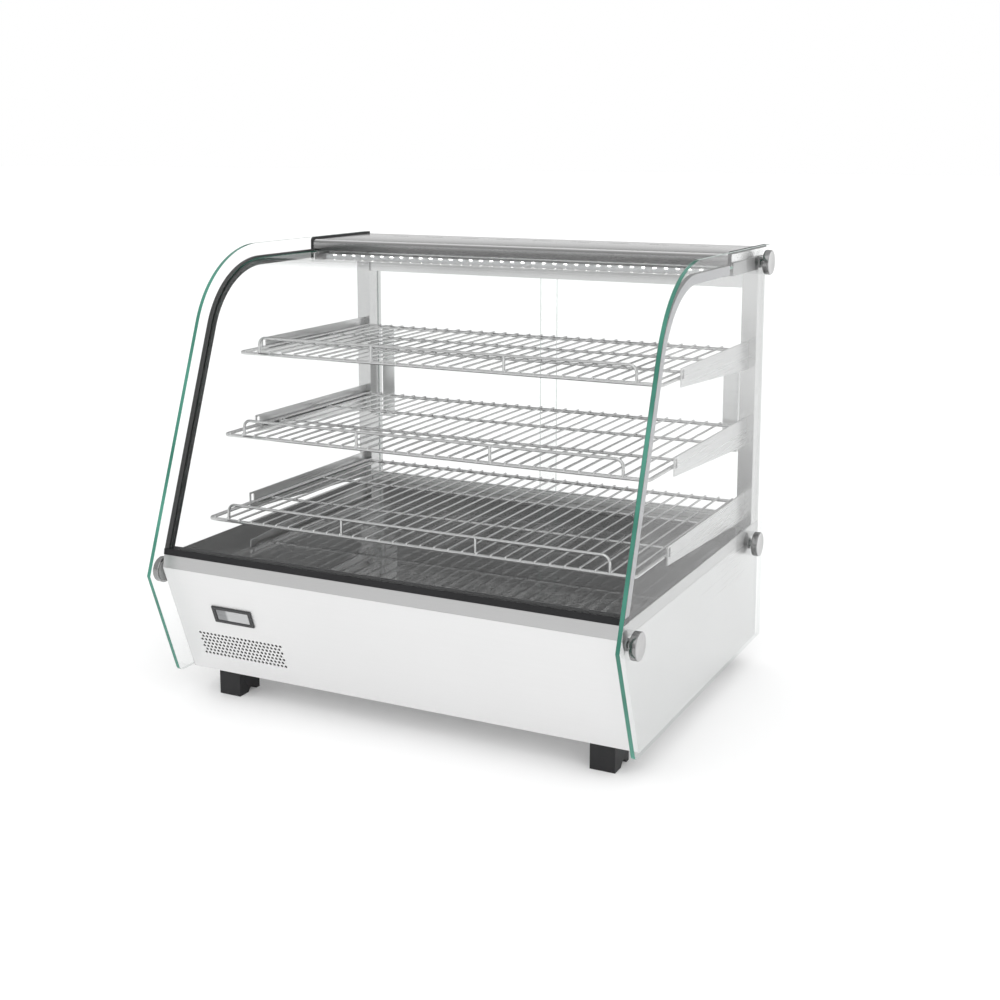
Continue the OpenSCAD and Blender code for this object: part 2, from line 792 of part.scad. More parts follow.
rocker_pin_d = 3;
rocker_w = 14;
rocker_h = 22;
rocker_r = 30;
rocker_in = 3;
rocker_reach = 20;
module rocker(x) {
  color("seagreen") translate([x, back_y - rocker_in, switch_z])
    rotate([rocker_tilt, 0, 0]) {
    along_x(-rocker_w / 2, rocker_w / 2)
      polygon(concat([[-4, -4], [-4, 4], [0, rocker_h / 2]],
                     arc(rocker_r + 4.5, 0, rocker_r, 180 - rocker_reach, 180 + rocker_reach, 8),
                     [[0, -rocker_h / 2]]));
    translate([-rocker_w / 2 - 1.2, 0, 0]) rotate([0, 90, 0])
      cylinder(d = rocker_pin_d, h = rocker_w + 2.4);
  }
}

shaft_d = 6;
shaft_out = 10;
skirt_h = 5;
grip_w = 6;
thermostat_w = 44;
thermostat_d = 34;
thermostat_h = 36;
module thermostat_knob() {
  color([0.12, 0.12, 0.12]) translate([knob_x, back_y, switch_z]) rotate([-90, 0, 0]) difference() {
    union() {
      translate([0, 0, 1]) cylinder(d = knob_d, h = skirt_h - 1);
      translate([0, 0, skirt_h]) cylinder(d1 = knob_d - 6, d2 = knob_d - 10, h = knob_out - skirt_h);
      translate([-grip_w / 2, -knob_d / 2 + 3, skirt_h])
        cube([grip_w, knob_d - 6, knob_out - skirt_h]);
    }
    translate([0, 0, -1]) cylinder(d = shaft_d + 0.1, h = shaft_out + 2);
  }
}

module thermostat_body() {
  color("silver") {
    translate([knob_x - thermostat_w / 2, back_y - sheet_t - thermostat_d,
               switch_z - thermostat_h / 2])
      cube([thermostat_w, thermostat_d, thermostat_h]);
    translate([knob_x, back_y - 10, switch_z]) rotate([-90, 0, 0])
      cylinder(d = shaft_d, h = 10 + shaft_out);
  }
}

gland_z = foot_h + 42;
gland_thread_d = 16;
gland_flange_h = 6;
gland_nose_h = 10;
gland_in = 14;
gland_bore_d = 8;
module cable_gland() {
  color([0.12, 0.12, 0.12]) translate([gland_x, back_y, gland_z]) rotate([-90, 0, 0])
    difference() {
      union() {
        cylinder(d = gland_thread_d + 8, h = gland_flange_h, $fn = 6);
        translate([0, 0, gland_flange_h])
          cylinder(d1 = gland_thread_d + 4, d2 = gland_thread_d - 2, h = gland_nose_h);
        translate([0, 0, -gland_in]) cylinder(d = gland_thread_d, h = gland_in + 0.1);
      }
      translate([0, 0, -gland_in - 6]) cylinder(d = gland_bore_d, h = 2 * gland_in + 12);
    }
}

// ---------- heating and air ----------

tray_half = base_half - sheet_t - 12;
tray_t = 1;
module plenum_tray() {
  high = strip_z + strip_h - floor_t - sheet_t;
  color("silver") difference() {
    translate([-tray_half, tray_front_y, tray_z])
      cube([2 * tray_half, tray_rear_y - tray_front_y, high - tray_z]);
    translate([-tray_half + tray_t, tray_front_y + tray_t, tray_z + tray_t])
      cube([2 * (tray_half - tray_t), tray_rear_y - tray_front_y - 2 * tray_t, high]);
    translate([0, fan_y, tray_z - 1]) cylinder(d = fan_bore_d, h = 4);
  }
}

element_d = 8;
element_len = 460;
element_gap = 70;
element_off = 95;
terminal_d = 3;
leg_x = 150;
leg_t = 4;
leg_d = 10;
module heating_element() {
  color([0.35, 0.33, 0.32]) for (y = [fan_y + element_off, fan_y - element_off])
    translate([0, y, element_z]) {
    for (s = [-1, 1]) {
      translate([-element_len / 2, s * element_gap / 2, 0]) rotate([0, 90, 0])
        cylinder(d = element_d, h = element_len);
      translate([-element_len / 2 - 10, s * element_gap / 2, 0]) rotate([0, 90, 0])
        cylinder(d = terminal_d, h = 12);
      for (x = [-1, 1])
        translate([x * leg_x - leg_t / 2, s * element_gap / 2 - leg_d / 2,
                   tray_z + tray_t - element_z])
          cube([leg_t, leg_d, element_z - tray_z - tray_t]);
    }
    translate([element_len / 2, 0, 0]) rotate([0, 0, -90]) rotate_extrude(angle = 180)
      translate([element_gap / 2, 0]) circle(d = element_d);
  }
}

fan_frame = 120;
spoke_w = 6;
spoke_t = 4;
hub_d = 40;
motor_h = 10;
fan_pin_d = 4;
module fan_housing() {
  low = fan_top_z - fan_h;
  color([0.15, 0.15, 0.15]) translate([0, fan_y, 0]) {
    difference() {
      translate([-fan_frame / 2, -fan_frame / 2, low]) cube([fan_frame, fan_frame, fan_h + 3]);
      translate([0, 0, low - 1]) cylinder(d = fan_bore_d, h = fan_h + 6);
    }
    translate([0, 0, low]) cylinder(d = hub_d, h = motor_h - 1);
    for (a = [45 : 90 : 315]) rotate([0, 0, a])
      translate([hub_d / 2 - 2, -spoke_w / 2, low]) cube([fan_bore_d / 2 - hub_d / 2 + 4, spoke_w, spoke_t]);
    translate([0, 0, low]) cylinder(d = fan_pin_d, h = fan_h);
  }
}

blade_count = 7;
blade_tilt = 35;
blade_w = 18;
blade_t = 1.6;
module fan_rotor() {
  low = fan_top_z - fan_h + motor_h;
  color([0.2, 0.2, 0.2]) translate([0, fan_y, low]) difference() {
    union() {
      cylinder(d = hub_d, h = fan_h - motor_h - 2);
      for (i = [0 : blade_count - 1]) rotate([0, 0, i * 360 / blade_count])
        translate([hub_d / 2 - 2, 0, 6.5]) rotate([blade_tilt, 0, 0])
          translate([0, -blade_w / 2, -blade_t / 2]) cube([(fan_d - hub_d) / 2, blade_w, blade_t]);
    }
    translate([0, 0, -1]) cylinder(d = fan_pin_d + 0.1, h = fan_h);
  }
}

driver_x = -210;
driver_w = 110;
driver_d = 42;
driver_h = 28;
module led_driver() {
  color("whitesmoke") translate([driver_x, back_y - 120, foot_h + sheet_t])
    cube([driver_w, driver_d, driver_h]);
}

block_w = 44;
block_d = 22;
block_h = 18;
way_pitch = 10.5;
module terminal_block() {
  color("ivory") translate([gland_x - block_w / 2, back_y - 90, foot_h + sheet_t]) difference() {
    cube([block_w, block_d, block_h]);
    for (i = [0 : 3]) translate([block_w / 2 + (i - 1.5) * way_pitch, block_d / 2, 8])
      cylinder(d = 6, h = block_h);
  }
}

bottom_plate();
front_panel();
scale_x(-1) side_panel();  // side_panel_left
side_panel();  // side_panel_right
rear_panel();
top_ring();
floor_plate();
front_gasket();
scale_x(-1) side_glass();  // side_glass_left
side_glass();  // side_glass_right
front_glass();
scale_x(-1) front_trim();  // front_trim_left
front_trim();  // front_trim_right
top_cover();
scale_x(-1) cover_seal();  // cover_seal_left
cover_seal();  // cover_seal_right
standoff_caps();
standoff_washers();
standoff_nuts();
scale_x(-1) rear_post();  // rear_post_left
rear_post();  // rear_post_right
scale_x(-1) top_rail();  // top_rail_left
top_rail();  // top_rail_right
door_track_upper();
door_track_lower();
door_pane(-post_x + fit, lane_rear_y);  // door_pane_left
door_handle(-post_x + fit + handle_edge, 1, lane_rear_y);  // door_handle_left
door_pane(post_x - fit - door_w, lane_front_y);  // door_pane_right
door_handle(post_x - fit - handle_edge, -1, lane_front_y);  // door_handle_right
led_housing();
led_strip();
led_lens();
shelf(0);  // shelf_bottom
shelf(1);  // shelf_middle
shelf(2);  // shelf_top
scale_x(-1) bracket(0);  // bracket_left_bottom
scale_x(-1) bracket(1);  // bracket_left_middle
scale_x(-1) bracket(2);  // bracket_left_top
bracket(0);  // bracket_right_bottom
bracket(1);  // bracket_right_middle
bracket(2);  // bracket_right_top
feet();
foot_screws();
display_bezel();
display_window();
display_module();
thermostat_knob();
thermostat_body();
rocker(power_x);  // power_rocker
switch_body(power_x);  // power_switch_body
rocker(light_x);  // light_rocker
switch_body(light_x);  // light_switch_body
cable_gland();
plenum_tray();
heating_element();
fan_housing();
fan_rotor();
led_driver();
terminal_block();
panel_screws();
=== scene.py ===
import json
import math

import bmesh
import bpy
from mathutils import Matrix, Vector


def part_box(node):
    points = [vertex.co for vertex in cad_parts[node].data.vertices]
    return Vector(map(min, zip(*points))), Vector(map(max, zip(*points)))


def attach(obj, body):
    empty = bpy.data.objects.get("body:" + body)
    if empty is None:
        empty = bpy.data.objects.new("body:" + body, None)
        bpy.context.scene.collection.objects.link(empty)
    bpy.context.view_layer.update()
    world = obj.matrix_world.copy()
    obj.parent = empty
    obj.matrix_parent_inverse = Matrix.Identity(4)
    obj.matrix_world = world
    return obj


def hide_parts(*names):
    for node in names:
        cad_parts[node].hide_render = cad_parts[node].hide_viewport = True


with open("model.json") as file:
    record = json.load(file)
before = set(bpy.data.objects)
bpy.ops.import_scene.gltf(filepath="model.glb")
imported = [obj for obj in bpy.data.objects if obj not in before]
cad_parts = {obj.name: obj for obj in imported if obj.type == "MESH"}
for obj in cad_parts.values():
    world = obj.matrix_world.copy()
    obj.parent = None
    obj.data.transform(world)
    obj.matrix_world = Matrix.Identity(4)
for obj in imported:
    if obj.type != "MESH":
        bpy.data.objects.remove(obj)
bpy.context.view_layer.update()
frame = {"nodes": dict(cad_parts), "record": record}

mm = 0.001
weldDistance = 0.002 * mm
bodyOf = {node: body for body, nodes in frame["record"]["behaviour"]["bodies"].items() for node in nodes}


# Node trees: a value wraps a socket, and the operators on it add Math nodes.

class Value:
    def __init__(self, graph, socket):
        self.graph = graph
        self.socket = socket

    def maths(self, operation, *others):
        return self.graph.make("ShaderNodeMath", {"operation": operation}, dict(enumerate((self, *others))))

    def __add__(self, other):
        return self.maths("ADD", other)

    def __mul__(self, other):
        return self.maths("MULTIPLY", other)

    def __sub__(self, other):
        return self.maths("SUBTRACT", other)

    def __rsub__(self, other):
        return self.graph.make("ShaderNodeMath", {"operation": "SUBTRACT"}, {0: other, 1: self})

    def __truediv__(self, other):
        return self.maths("DIVIDE", other)

    def __pow__(self, other):
        return self.maths("POWER", other)

    def __abs__(self):
        return self.maths("ABSOLUTE")

    __radd__ = __add__
    __rmul__ = __mul__


class Graph:
    def __init__(self, tree):
        self.tree = tree

    def make(self, kind, settings=None, inputs=None, output=0):
        node = self.tree.nodes.new(kind)
        for key, setting in (settings or {}).items():
            if key == "stops":
                self.setStops(node.color_ramp, setting)
            else:
                setattr(node, key, setting)
        for key, given in (inputs or {}).items():
            if isinstance(given, Value):
                self.tree.links.new(given.socket, node.inputs[key])
            else:
                node.inputs[key].default_value = given
        return Value(self, node.outputs[output]) if len(node.outputs) else node

    def setStops(self, ramp, stops):
        while len(ramp.elements) < len(stops):
            ramp.elements.new(0.5)
        for element, (place, shade) in zip(ramp.elements, stops):
            element.position = place
            element.color = (*shade, 1.0) if len(shade) == 3 else shade

    def step(self, amount, low, high):
        inputs = {"Value": amount, "From Min": low, "From Max": high}
        return self.make("ShaderNodeMapRange", {"interpolation_type": "SMOOTHSTEP"}, inputs)

    def blend(self, amount, first, second):
        inputs = {0: amount, 6: first, 7: second}
        return self.make("ShaderNodeMix", {"data_type": "RGBA"}, inputs, output=2)


class Finish(Graph):
    def __init__(self, name):
        self.material = bpy.data.materials.new(name)
        self.material.use_nodes = True
        super().__init__(self.material.node_tree)
        self.tree.nodes.clear()

    def place(self, scale=(1, 1, 1)):
        here = self.make("ShaderNodeTexCoord", output="Object")
        return self.make("ShaderNodeMapping", None, {"Vector": here, "Scale": scale})

    def facing(self, axis):
        normal = self.make("ShaderNodeTexCoord", output="Normal")
        return self.make("ShaderNodeSeparateXYZ", None, {0: normal}, output=axis)

    def along(self, axis):
        return self.make("ShaderNodeSeparateXYZ", None, {0: self.place()}, output=axis)

    def noise(self, scale, detail=2.0):
        inputs = {"Vector": self.place(scale), "Scale": 1.0, "Detail": detail}
        return self.make("ShaderNodeTexNoise", None, inputs)

    def ramp(self, amount, *stops):
        return self.make("ShaderNodeValToRGB", {"stops": stops}, {0: amount})

    def between(self, amount, tones, low=0.3, high=0.7):
        dark, light = tones
        return self.ramp(amount, (low, grey(dark)), (high, grey(light)))

    def bump(self, height, strength, depth):
        inputs = {"Height": height, "Strength": strength, "Distance": depth}
        return self.make("ShaderNodeBump", None, inputs)

    def surface(self, **inputs):
        named = {key.replace("_", " "): given for key, given in inputs.items()}
        return self.make("ShaderNodeBsdfPrincipled", None, named)

    def done(self, shader):
        output = self.tree.nodes.new("ShaderNodeOutputMaterial")
        self.tree.links.new(shader.socket, output.inputs["Surface"])
        return self.material


def grey(level):
    return (level, level, level, 1.0)


# Camera and studio

studio = {
    "cameraPlace": (0.924, -1.771, 0.768),
    "turnLeft": 26.44,
    "tiltDown": 8.98,
    "lens": 52.54,
    "frameShift": -0.13,
    "floorHalf": 30.0,
    "floorCloud": (3, 3, 3),
    "floorVariation": 0.01,
    "floorTone": 0.86,
    "floorGlow": 0.09,
    "sunStrength": 0.9,
    "sunSpread": 80,
    "sunTurn": (44, 14, 20),
    "background": 1.0,
    "skyTop": 1.1,
    "skyLow": 0.92,
    "mirroredTop": 0.84,
    "mirroredMiddle": 0.74,
    "mirroredLow": 0.78,
    "flagTone": 0.12,
    "flagTowards": (-0.445, 0.895, 0.0),
    "flagSides": (0.76, 0.90),
    "flagFoot": (0.15, 0.22),
    "flagHead": (0.40, 0.60),
    "middleAt": 0.35,
    "topAt": 0.9,
}


def makeCamera():
    data = bpy.data.cameras.new("camera")
    data.lens = studio["lens"]
    data.shift_y = studio["frameShift"]
    camera = bpy.data.objects.new("camera", data)
    camera.location = studio["cameraPlace"]
    camera.rotation_euler = (math.radians(90 - studio["tiltDown"]), 0, math.radians(studio["turnLeft"]))
    bpy.context.scene.collection.objects.link(camera)
    bpy.context.scene.camera = camera


def makeWorld():
    # bright sky for soft light, a dimmer one for mirror images, with a dark card low behind the case
    world = bpy.data.worlds.new("studioSky")
    bpy.context.scene.world = world
    world.use_nodes = True
    sky = Graph(world.node_tree)
    sky.tree.nodes.clear()
    direction = sky.make("ShaderNodeTexCoord", output="Generated")
    height = sky.make("ShaderNodeSeparateXYZ", None, {0: direction}, output=2)
    stops = ((0.0, grey(studio["skyLow"])), (studio["topAt"], grey(studio["skyTop"])))
    shade = sky.make("ShaderNodeValToRGB", {"stops": stops}, {0: height})
    stops = (
        (0.0, grey(studio["mirroredLow"])),
        (studio["middleAt"], grey(studio["mirroredMiddle"])),
        (studio["topAt"], grey(studio["mirroredTop"])),
    )
    mirrored = sky.make("ShaderNodeValToRGB", {"stops": stops}, {0: height})
    inputs = {0: direction, 1: studio["flagTowards"]}
    towards = sky.make("ShaderNodeVectorMath", {"operation": "DOT_PRODUCT"}, inputs, output="Value")
    flag = sky.step(towards, *studio["flagSides"]) * sky.step(height, *studio["flagFoot"])
    flag = flag * (1 - sky.step(height, *studio["flagHead"]))
    mirrored = sky.blend(flag, mirrored, grey(studio["flagTone"]))
    shiny = sky.make("ShaderNodeLightPath", output="Is Glossy Ray")
    seen = sky.make("ShaderNodeLightPath", output="Is Camera Ray")
    colour = sky.blend(seen, sky.blend(shiny, shade, mirrored), grey(studio["background"]))
    light = sky.make("ShaderNodeBackground", None, {"Color": colour})
    output = sky.tree.nodes.new("ShaderNodeOutputWorld")
    sky.tree.links.new(light.socket, output.inputs["Surface"])


def makeSun():
    data = bpy.data.lights.new("sun", "SUN")
    data.energy = studio["sunStrength"]
    data.angle = math.radians(studio["sunSpread"])
    sun = bpy.data.objects.new("sun", data)
    sun.rotation_euler = [math.radians(turn) for turn in studio["sunTurn"]]
    bpy.context.scene.collection.objects.link(sun)


def makeFloor():
    half = studio["floorHalf"]
    mesh = bpy.data.meshes.new("floor")
    corners = [(-half, -half, 0), (half, -half, 0), (half, half, 0), (-half, half, 0)]
    mesh.from_pydata(corners, [], [range(len(corners))])
    floor = bpy.data.objects.new("floor", mesh)
    bpy.context.scene.collection.objects.link(floor)
    paper = Finish("paperFloor")
    tones = (studio["floorTone"] - studio["floorVariation"], studio["floorTone"] + studio["floorVariation"])
    tint = paper.between(paper.noise(studio["floorCloud"]), tones, 0.0, 1.0)
    mesh.materials.append(paper.done(paper.surface(
        Base_Color=tint, Roughness=0.9, Specular_IOR_Level=0.1,
        Emission_Color=grey(1.0), Emission_Strength=studio["floorGlow"])))


makeCamera()
makeWorld()
makeSun()
makeFloor()
bpy.context.scene.view_settings.view_transform = "Standard"
bpy.context.scene.cycles.transparent_max_bounces = 32
print("studio ready")


# Finishes

def solidsOf(node):
    # the box of each separate solid in a CAD node, always in the same order
    shape = bmesh.new()
    shape.from_mesh(frame["nodes"][node].data)
    bmesh.ops.remove_doubles(shape, verts=shape.verts, dist=weldDistance)
    waiting = set(shape.verts)
    boxes = []
    while waiting:
        reached = [waiting.pop()]
        solid = list(reached)
        while reached:
            for link in reached.pop().link_edges:
                for vert in link.verts:
                    if vert in waiting:
                        waiting.remove(vert)
                        reached.append(vert)
                        solid.append(vert)
        places = [vert.co.copy() for vert in solid]
        lo = Vector([min(place[axis] for place in places) for axis in range(3)])
        hi = Vector([max(place[axis] for place in places) for axis in range(3)])
        boxes.append((lo, hi))
    shape.free()
    return sorted(boxes, key=lambda box: [round(part, 4) for part in box[0]])


steelLooks = {
    "grainAlongX": (3, 500, 500),
    "grainAlongY": (500, 3, 500),
    "grainAlongZ": (500, 500, 3),
    "cloud": (4, 4, 4),
    "grainDepth": 0.00002,
    "cloudSpread": 0.8,
}


def sheetSteel(
        name, tone, roughness, grain, spread=0.08, strength=0.35, cloudy=0.4, depth=0.035, metal=1.0):
    # cloudy is the share of broad clouds in the colour, the rest is fine grain
    steel = Finish(name)
    lines = steel.noise(steelLooks[grain], detail=3.0)
    clouds = steel.noise(steelLooks["cloud"], detail=1.0)
    mixture = lines * (1 - cloudy) + clouds * cloudy
    colour = steel.between(mixture, (tone * (1 - depth), tone * (1 + depth / 2)))
    rough = roughness + (lines - 0.5) * spread + (clouds - 0.5) * (spread * steelLooks["cloudSpread"])
    brushed = steel.bump(lines, strength, steelLooks["grainDepth"])
    return steel.done(steel.surface(Base_Color=colour, Metallic=metal, Roughness=rough, Normal=brushed))


coverLooks = {
    "frontTurn": (0.45, 0.95),
    "foldSpan": (0.35, 0.65),
    "paintedFoldShadeTones": (0.20, 0.31),
    "topTones": (0.86, 0.93),
    "roughness": 0.19,
    "spread": 0.08,
    "grain": 0.3,
}


def coverSteel(name):
    # painted shade: the folded front edge is coloured darker than the top, most of all below
    steel = Finish(name)
    looks = coverLooks
    lines = steel.noise(steelLooks["grainAlongX"], detail=3.0)
    front = steel.step(0 - steel.facing(1), *looks["frontTurn"])
    lo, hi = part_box("top_cover")
    span = [lo.z + share * (hi.z - lo.z) for share in looks["foldSpan"]]
    fold = steel.step(steel.along(2), *span)
    # painted shade on the fold: darker below, less dark above
    below, above = looks["paintedFoldShadeTones"]
    paintedFoldShade = steel.blend(fold, grey(below), grey(above))
    colour = steel.blend(front, steel.between(lines, looks["topTones"]), paintedFoldShade)
    rough = looks["roughness"] + (lines - 0.5) * looks["spread"]
    brushed = steel.bump(lines, looks["grain"], steelLooks["grainDepth"])
    return steel.done(steel.surface(Base_Color=colour, Metallic=1.0, Roughness=rough, Normal=brushed))


plateLooks = {
    "swirl": (9, 9, 9),
    "swirlShare": 0.4,
    "tones": (0.25, 0.33),
    "tonesEnd": 0.72,
    "roughness": 0.035,
    "swirlSpread": 0.03,
    "grainSpread": 0.02,
    "grain": 0.03,
}


def floorSteel(name):
    steel = Finish(name)
    looks = plateLooks
    swirl = steel.noise(looks["swirl"], detail=4.0)
    lines = steel.noise(steelLooks["grainAlongX"])
    mixture = swirl * looks["swirlShare"] + lines * (1 - looks["swirlShare"])
    colour = steel.between(mixture, looks["tones"], high=looks["tonesEnd"])
    rough = looks["roughness"] + swirl * looks["swirlSpread"] + lines * looks["grainSpread"]
    skin = steel.bump(lines, looks["grain"], steelLooks["grainDepth"])
    return steel.done(steel.surface(Base_Color=colour, Metallic=1.0, Roughness=rough, Normal=skin))


chromeLooks = {
    "haze": (60, 60, 60),
    "rippleDepth": 0.00003,
    "wireTones": (0.576, 0.60),
    "sideTones": (0.24, 0.30),
    "faceTones": (0.44, 0.50),
    "faceTurn": (0.5, 0.9),
}


def wireChrome(name):
    chrome = Finish(name)
    haze = chrome.noise(chromeLooks["haze"], detail=3.0)
    colour = chrome.between(haze, chromeLooks["wireTones"])
    rough = 0.12 + haze * 0.05
    ripple = chrome.bump(haze, 0.1, chromeLooks["rippleDepth"])
    return chrome.done(chrome.surface(Base_Color=colour, Metallic=1.0, Roughness=rough, Normal=ripple))


def capChrome(name):
    # painted shade: the turned side of a cap is coloured darker than its flat face
    chrome = Finish(name)
    haze = chrome.noise(chromeLooks["haze"], detail=3.0)
    face = chrome.step(abs(chrome.facing(0)), *chromeLooks["faceTurn"])
    # painted shade on the turned side of the cap
    side = chrome.between(haze, chromeLooks["sideTones"])
    flat = chrome.between(haze, chromeLooks["faceTones"])
    rough = 0.10 + haze * 0.06
    ripple = chrome.bump(haze, 0.08, chromeLooks["rippleDepth"])
    colour = chrome.blend(face, side, flat)
    return chrome.done(chrome.surface(Base_Color=colour, Metallic=1.0, Roughness=rough, Normal=ripple))


glassLooks = {
    "edgeDeep": (0.020, 0.145, 0.100, 1.0),
    "edgeLight": (0.070, 0.28, 0.21, 1.0),
    "plainEdge": 0.10,
    "tint": (0.993, 0.996, 0.995, 1.0),
    "reflection": 0.03,
    "grazing": 0.5,
    "edgeTurn": (0.35, 0.65),
    "plainBand": (1.0, 3.0),
    "boreBand": (6.0, 7.0),
    "streaks": (4, 4, 14),
}


def plainEdges(glass, plate):
    # the polished edge is green; along the bottom and the rear of a plate, and in its bores, nearly plain
    lo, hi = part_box(plate)
    near, far = [reach * mm for reach in glassLooks["plainBand"]]
    length = glass.along(1)
    height = glass.along(2)
    behind = glass.step(length, hi.y - far, hi.y - near)
    above = glass.step(height, lo.z + near, lo.z + far)
    plain = 1 - above * (1 - behind)
    band = [reach * mm for reach in glassLooks["boreBand"]]
    spot = glass.make("ShaderNodeCombineXYZ", None, {1: length, 2: height})
    for boreLo, boreHi in solidsOf("standoff_caps"):
        if boreLo.x > 0:
            middle = (boreLo + boreHi) / 2
            inputs = {0: spot, 1: (0, middle.y, middle.z)}
            away = glass.make("ShaderNodeVectorMath", {"operation": "DISTANCE"}, inputs, output="Value")
            bore = 1 - glass.step(away, *band)
            plain = plain + bore * (1 - plain)
    return plain


def clearGlass(name, faceAxis, facesAcross, colouring=1.0, plate=None):
    # faceAxis is the axis that a pane's faces point along, unless its cut sides point along it
    glass = Finish(name)
    edge = glass.step(abs(glass.facing(faceAxis)), *glassLooks["edgeTurn"])
    edge = (edge if facesAcross else 1 - edge) * colouring
    if plate:
        edge = edge * (1 - plainEdges(glass, plate) * (1 - glassLooks["plainEdge"]))
    facing = glass.make("ShaderNodeLayerWeight", None, {"Blend": 0.5}, output="Facing")
    mirror = glassLooks["reflection"] + glassLooks["grazing"] * facing ** 5.0
    clear = glass.make("ShaderNodeBsdfTransparent", None, {"Color": glassLooks["tint"]})
    gloss = glass.make("ShaderNodeBsdfAnisotropic", None, {"Color": grey(0.95), "Roughness": 0.01})
    pane = glass.make("ShaderNodeMixShader", None, {0: mirror, 1: clear, 2: gloss})
    depth = glass.noise(glassLooks["streaks"])
    green = glass.ramp(depth, (0.3, glassLooks["edgeDeep"]), (0.75, glassLooks["edgeLight"]))
    polished = glass.surface(
        Base_Color=green, Roughness=0.15, Specular_IOR_Level=0.3, Coat_Weight=0.6, Coat_Roughness=0.04)
    return glass.done(glass.make("ShaderNodeMixShader", None, {0: edge, 1: pane, 2: polished}))


plasticLooks = {
    "cloud": (14, 14, 14),
    "cloudShare": 0.6,
    "lighter": 1.25,
    "lift": 0.004,
    "spread": 0.12,
    "grain": 0.35,
}


def mouldedPlastic(name, colour, roughness, grainSize=0.0006, depth=0.00004, level=0.5):
    plastic = Finish(name)
    looks = plasticLooks
    size = 1 / grainSize
    pits = plastic.noise((size, size, size))
    clouds = plastic.noise(looks["cloud"])
    lighter = tuple(min(1.0, part * looks["lighter"] + looks["lift"]) for part in colour)
    mixture = clouds * looks["cloudShare"] + pits * (1 - looks["cloudShare"])
    tint = plastic.ramp(mixture, (0.3, colour), (0.7, lighter))
    rough = roughness + (clouds - 0.5) * looks["spread"]
    texture = plastic.bump(pits, looks["grain"], depth)
    return plastic.done(plastic.surface(
        Base_Color=tint, Roughness=rough, Normal=texture, Specular_IOR_Level=level))


trimLooks = {
    "grain": (900, 900, 900),
    "innerTones": (0.030, 0.042),
    "outerColour": (0.34, 0.34, 0.355, 1.0),
    "outerTurn": (0.4, 0.8),
}


def trimPlastic(name):
    # black towards the food, grey on the side that touches the side plate
    plastic = Finish(name)
    pits = plastic.noise(trimLooks["grain"])
    sideOfCase = plastic.make("ShaderNodeMath", {"operation": "SIGN"}, {0: plastic.along(0)})
    outside = plastic.step(plastic.facing(0) * sideOfCase, *trimLooks["outerTurn"])
    inner = plastic.between(pits, trimLooks["innerTones"])
    tint = plastic.blend(outside, inner, trimLooks["outerColour"])
    rough = 0.42 + (pits - 0.5) * 0.1
    texture = plastic.bump(pits, 0.2, 0.00003)
    return plastic.done(plastic.surface(Base_Color=tint, Roughness=rough, Normal=texture))


lampLooks = {
    "cells": (300, 300, 300),
    "dimmer": 0.92,
}


def glowing(name, colour, strength):
    lamp = Finish(name)
    cells = lamp.noise(lampLooks["cells"])
    dimmer = tuple(lampLooks["dimmer"] * part for part in colour)
    tint = lamp.ramp(cells, (0.0, dimmer), (1.0, colour))
    return lamp.done(lamp.surface(
        Base_Color=tint, Emission_Color=tint, Emission_Strength=strength, Roughness=0.3))


windowLooks = {
    "paleFrom": (0.26, 0.36),
    "dark": (0.13, 0.135, 0.14, 1.0),
    "pale": (0.48, 0.485, 0.49, 1.0),
    "film": (40, 200, 200),
    "filmShare": 0.25,
}


def smokedWindow(name):
    # dark at one end, with a pale panel over the rest
    window = Finish(name)
    looks = windowLooks
    lo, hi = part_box("display_window")
    span = [lo.x + share * (hi.x - lo.x) for share in looks["paleFrom"]]
    panel = window.step(window.along(0), *span)
    film = window.noise(looks["film"])
    mixture = panel * (1 - looks["filmShare"]) + film * looks["filmShare"]
    tint = window.blend(mixture, looks["dark"], looks["pale"])
    return window.done(window.surface(
        Base_Color=tint, Roughness=0.08 + film * 0.06, Coat_Weight=1.0, Coat_Roughness=0.02))


def heatedSteel(name):
    steel = Finish(name)
    patches = steel.noise((22, 60, 60), detail=4.0)
    stops = (0.3, (0.16, 0.13, 0.11)), (0.5, (0.30, 0.25, 0.19)), (0.72, (0.24, 0.25, 0.30))
    tint = steel.ramp(patches, *stops)
    return steel.done(steel.surface(Base_Color=tint, Metallic=1.0, Roughness=0.35 + patches * 0.25))


def zincPlate(name):
    zinc = Finish(name)
    spangle = zinc.make("ShaderNodeTexVoronoi", None, {"Vector": zinc.place((90, 90, 90)), "Scale": 1.0})
    tint = zinc.ramp(spangle, (0.0, (0.50, 0.51, 0.53)), (1.0, (0.66, 0.67, 0.69)))
    return zinc.done(zinc.surface(Base_Color=tint, Metallic=1.0, Roughness=0.34 + spangle * 0.12))


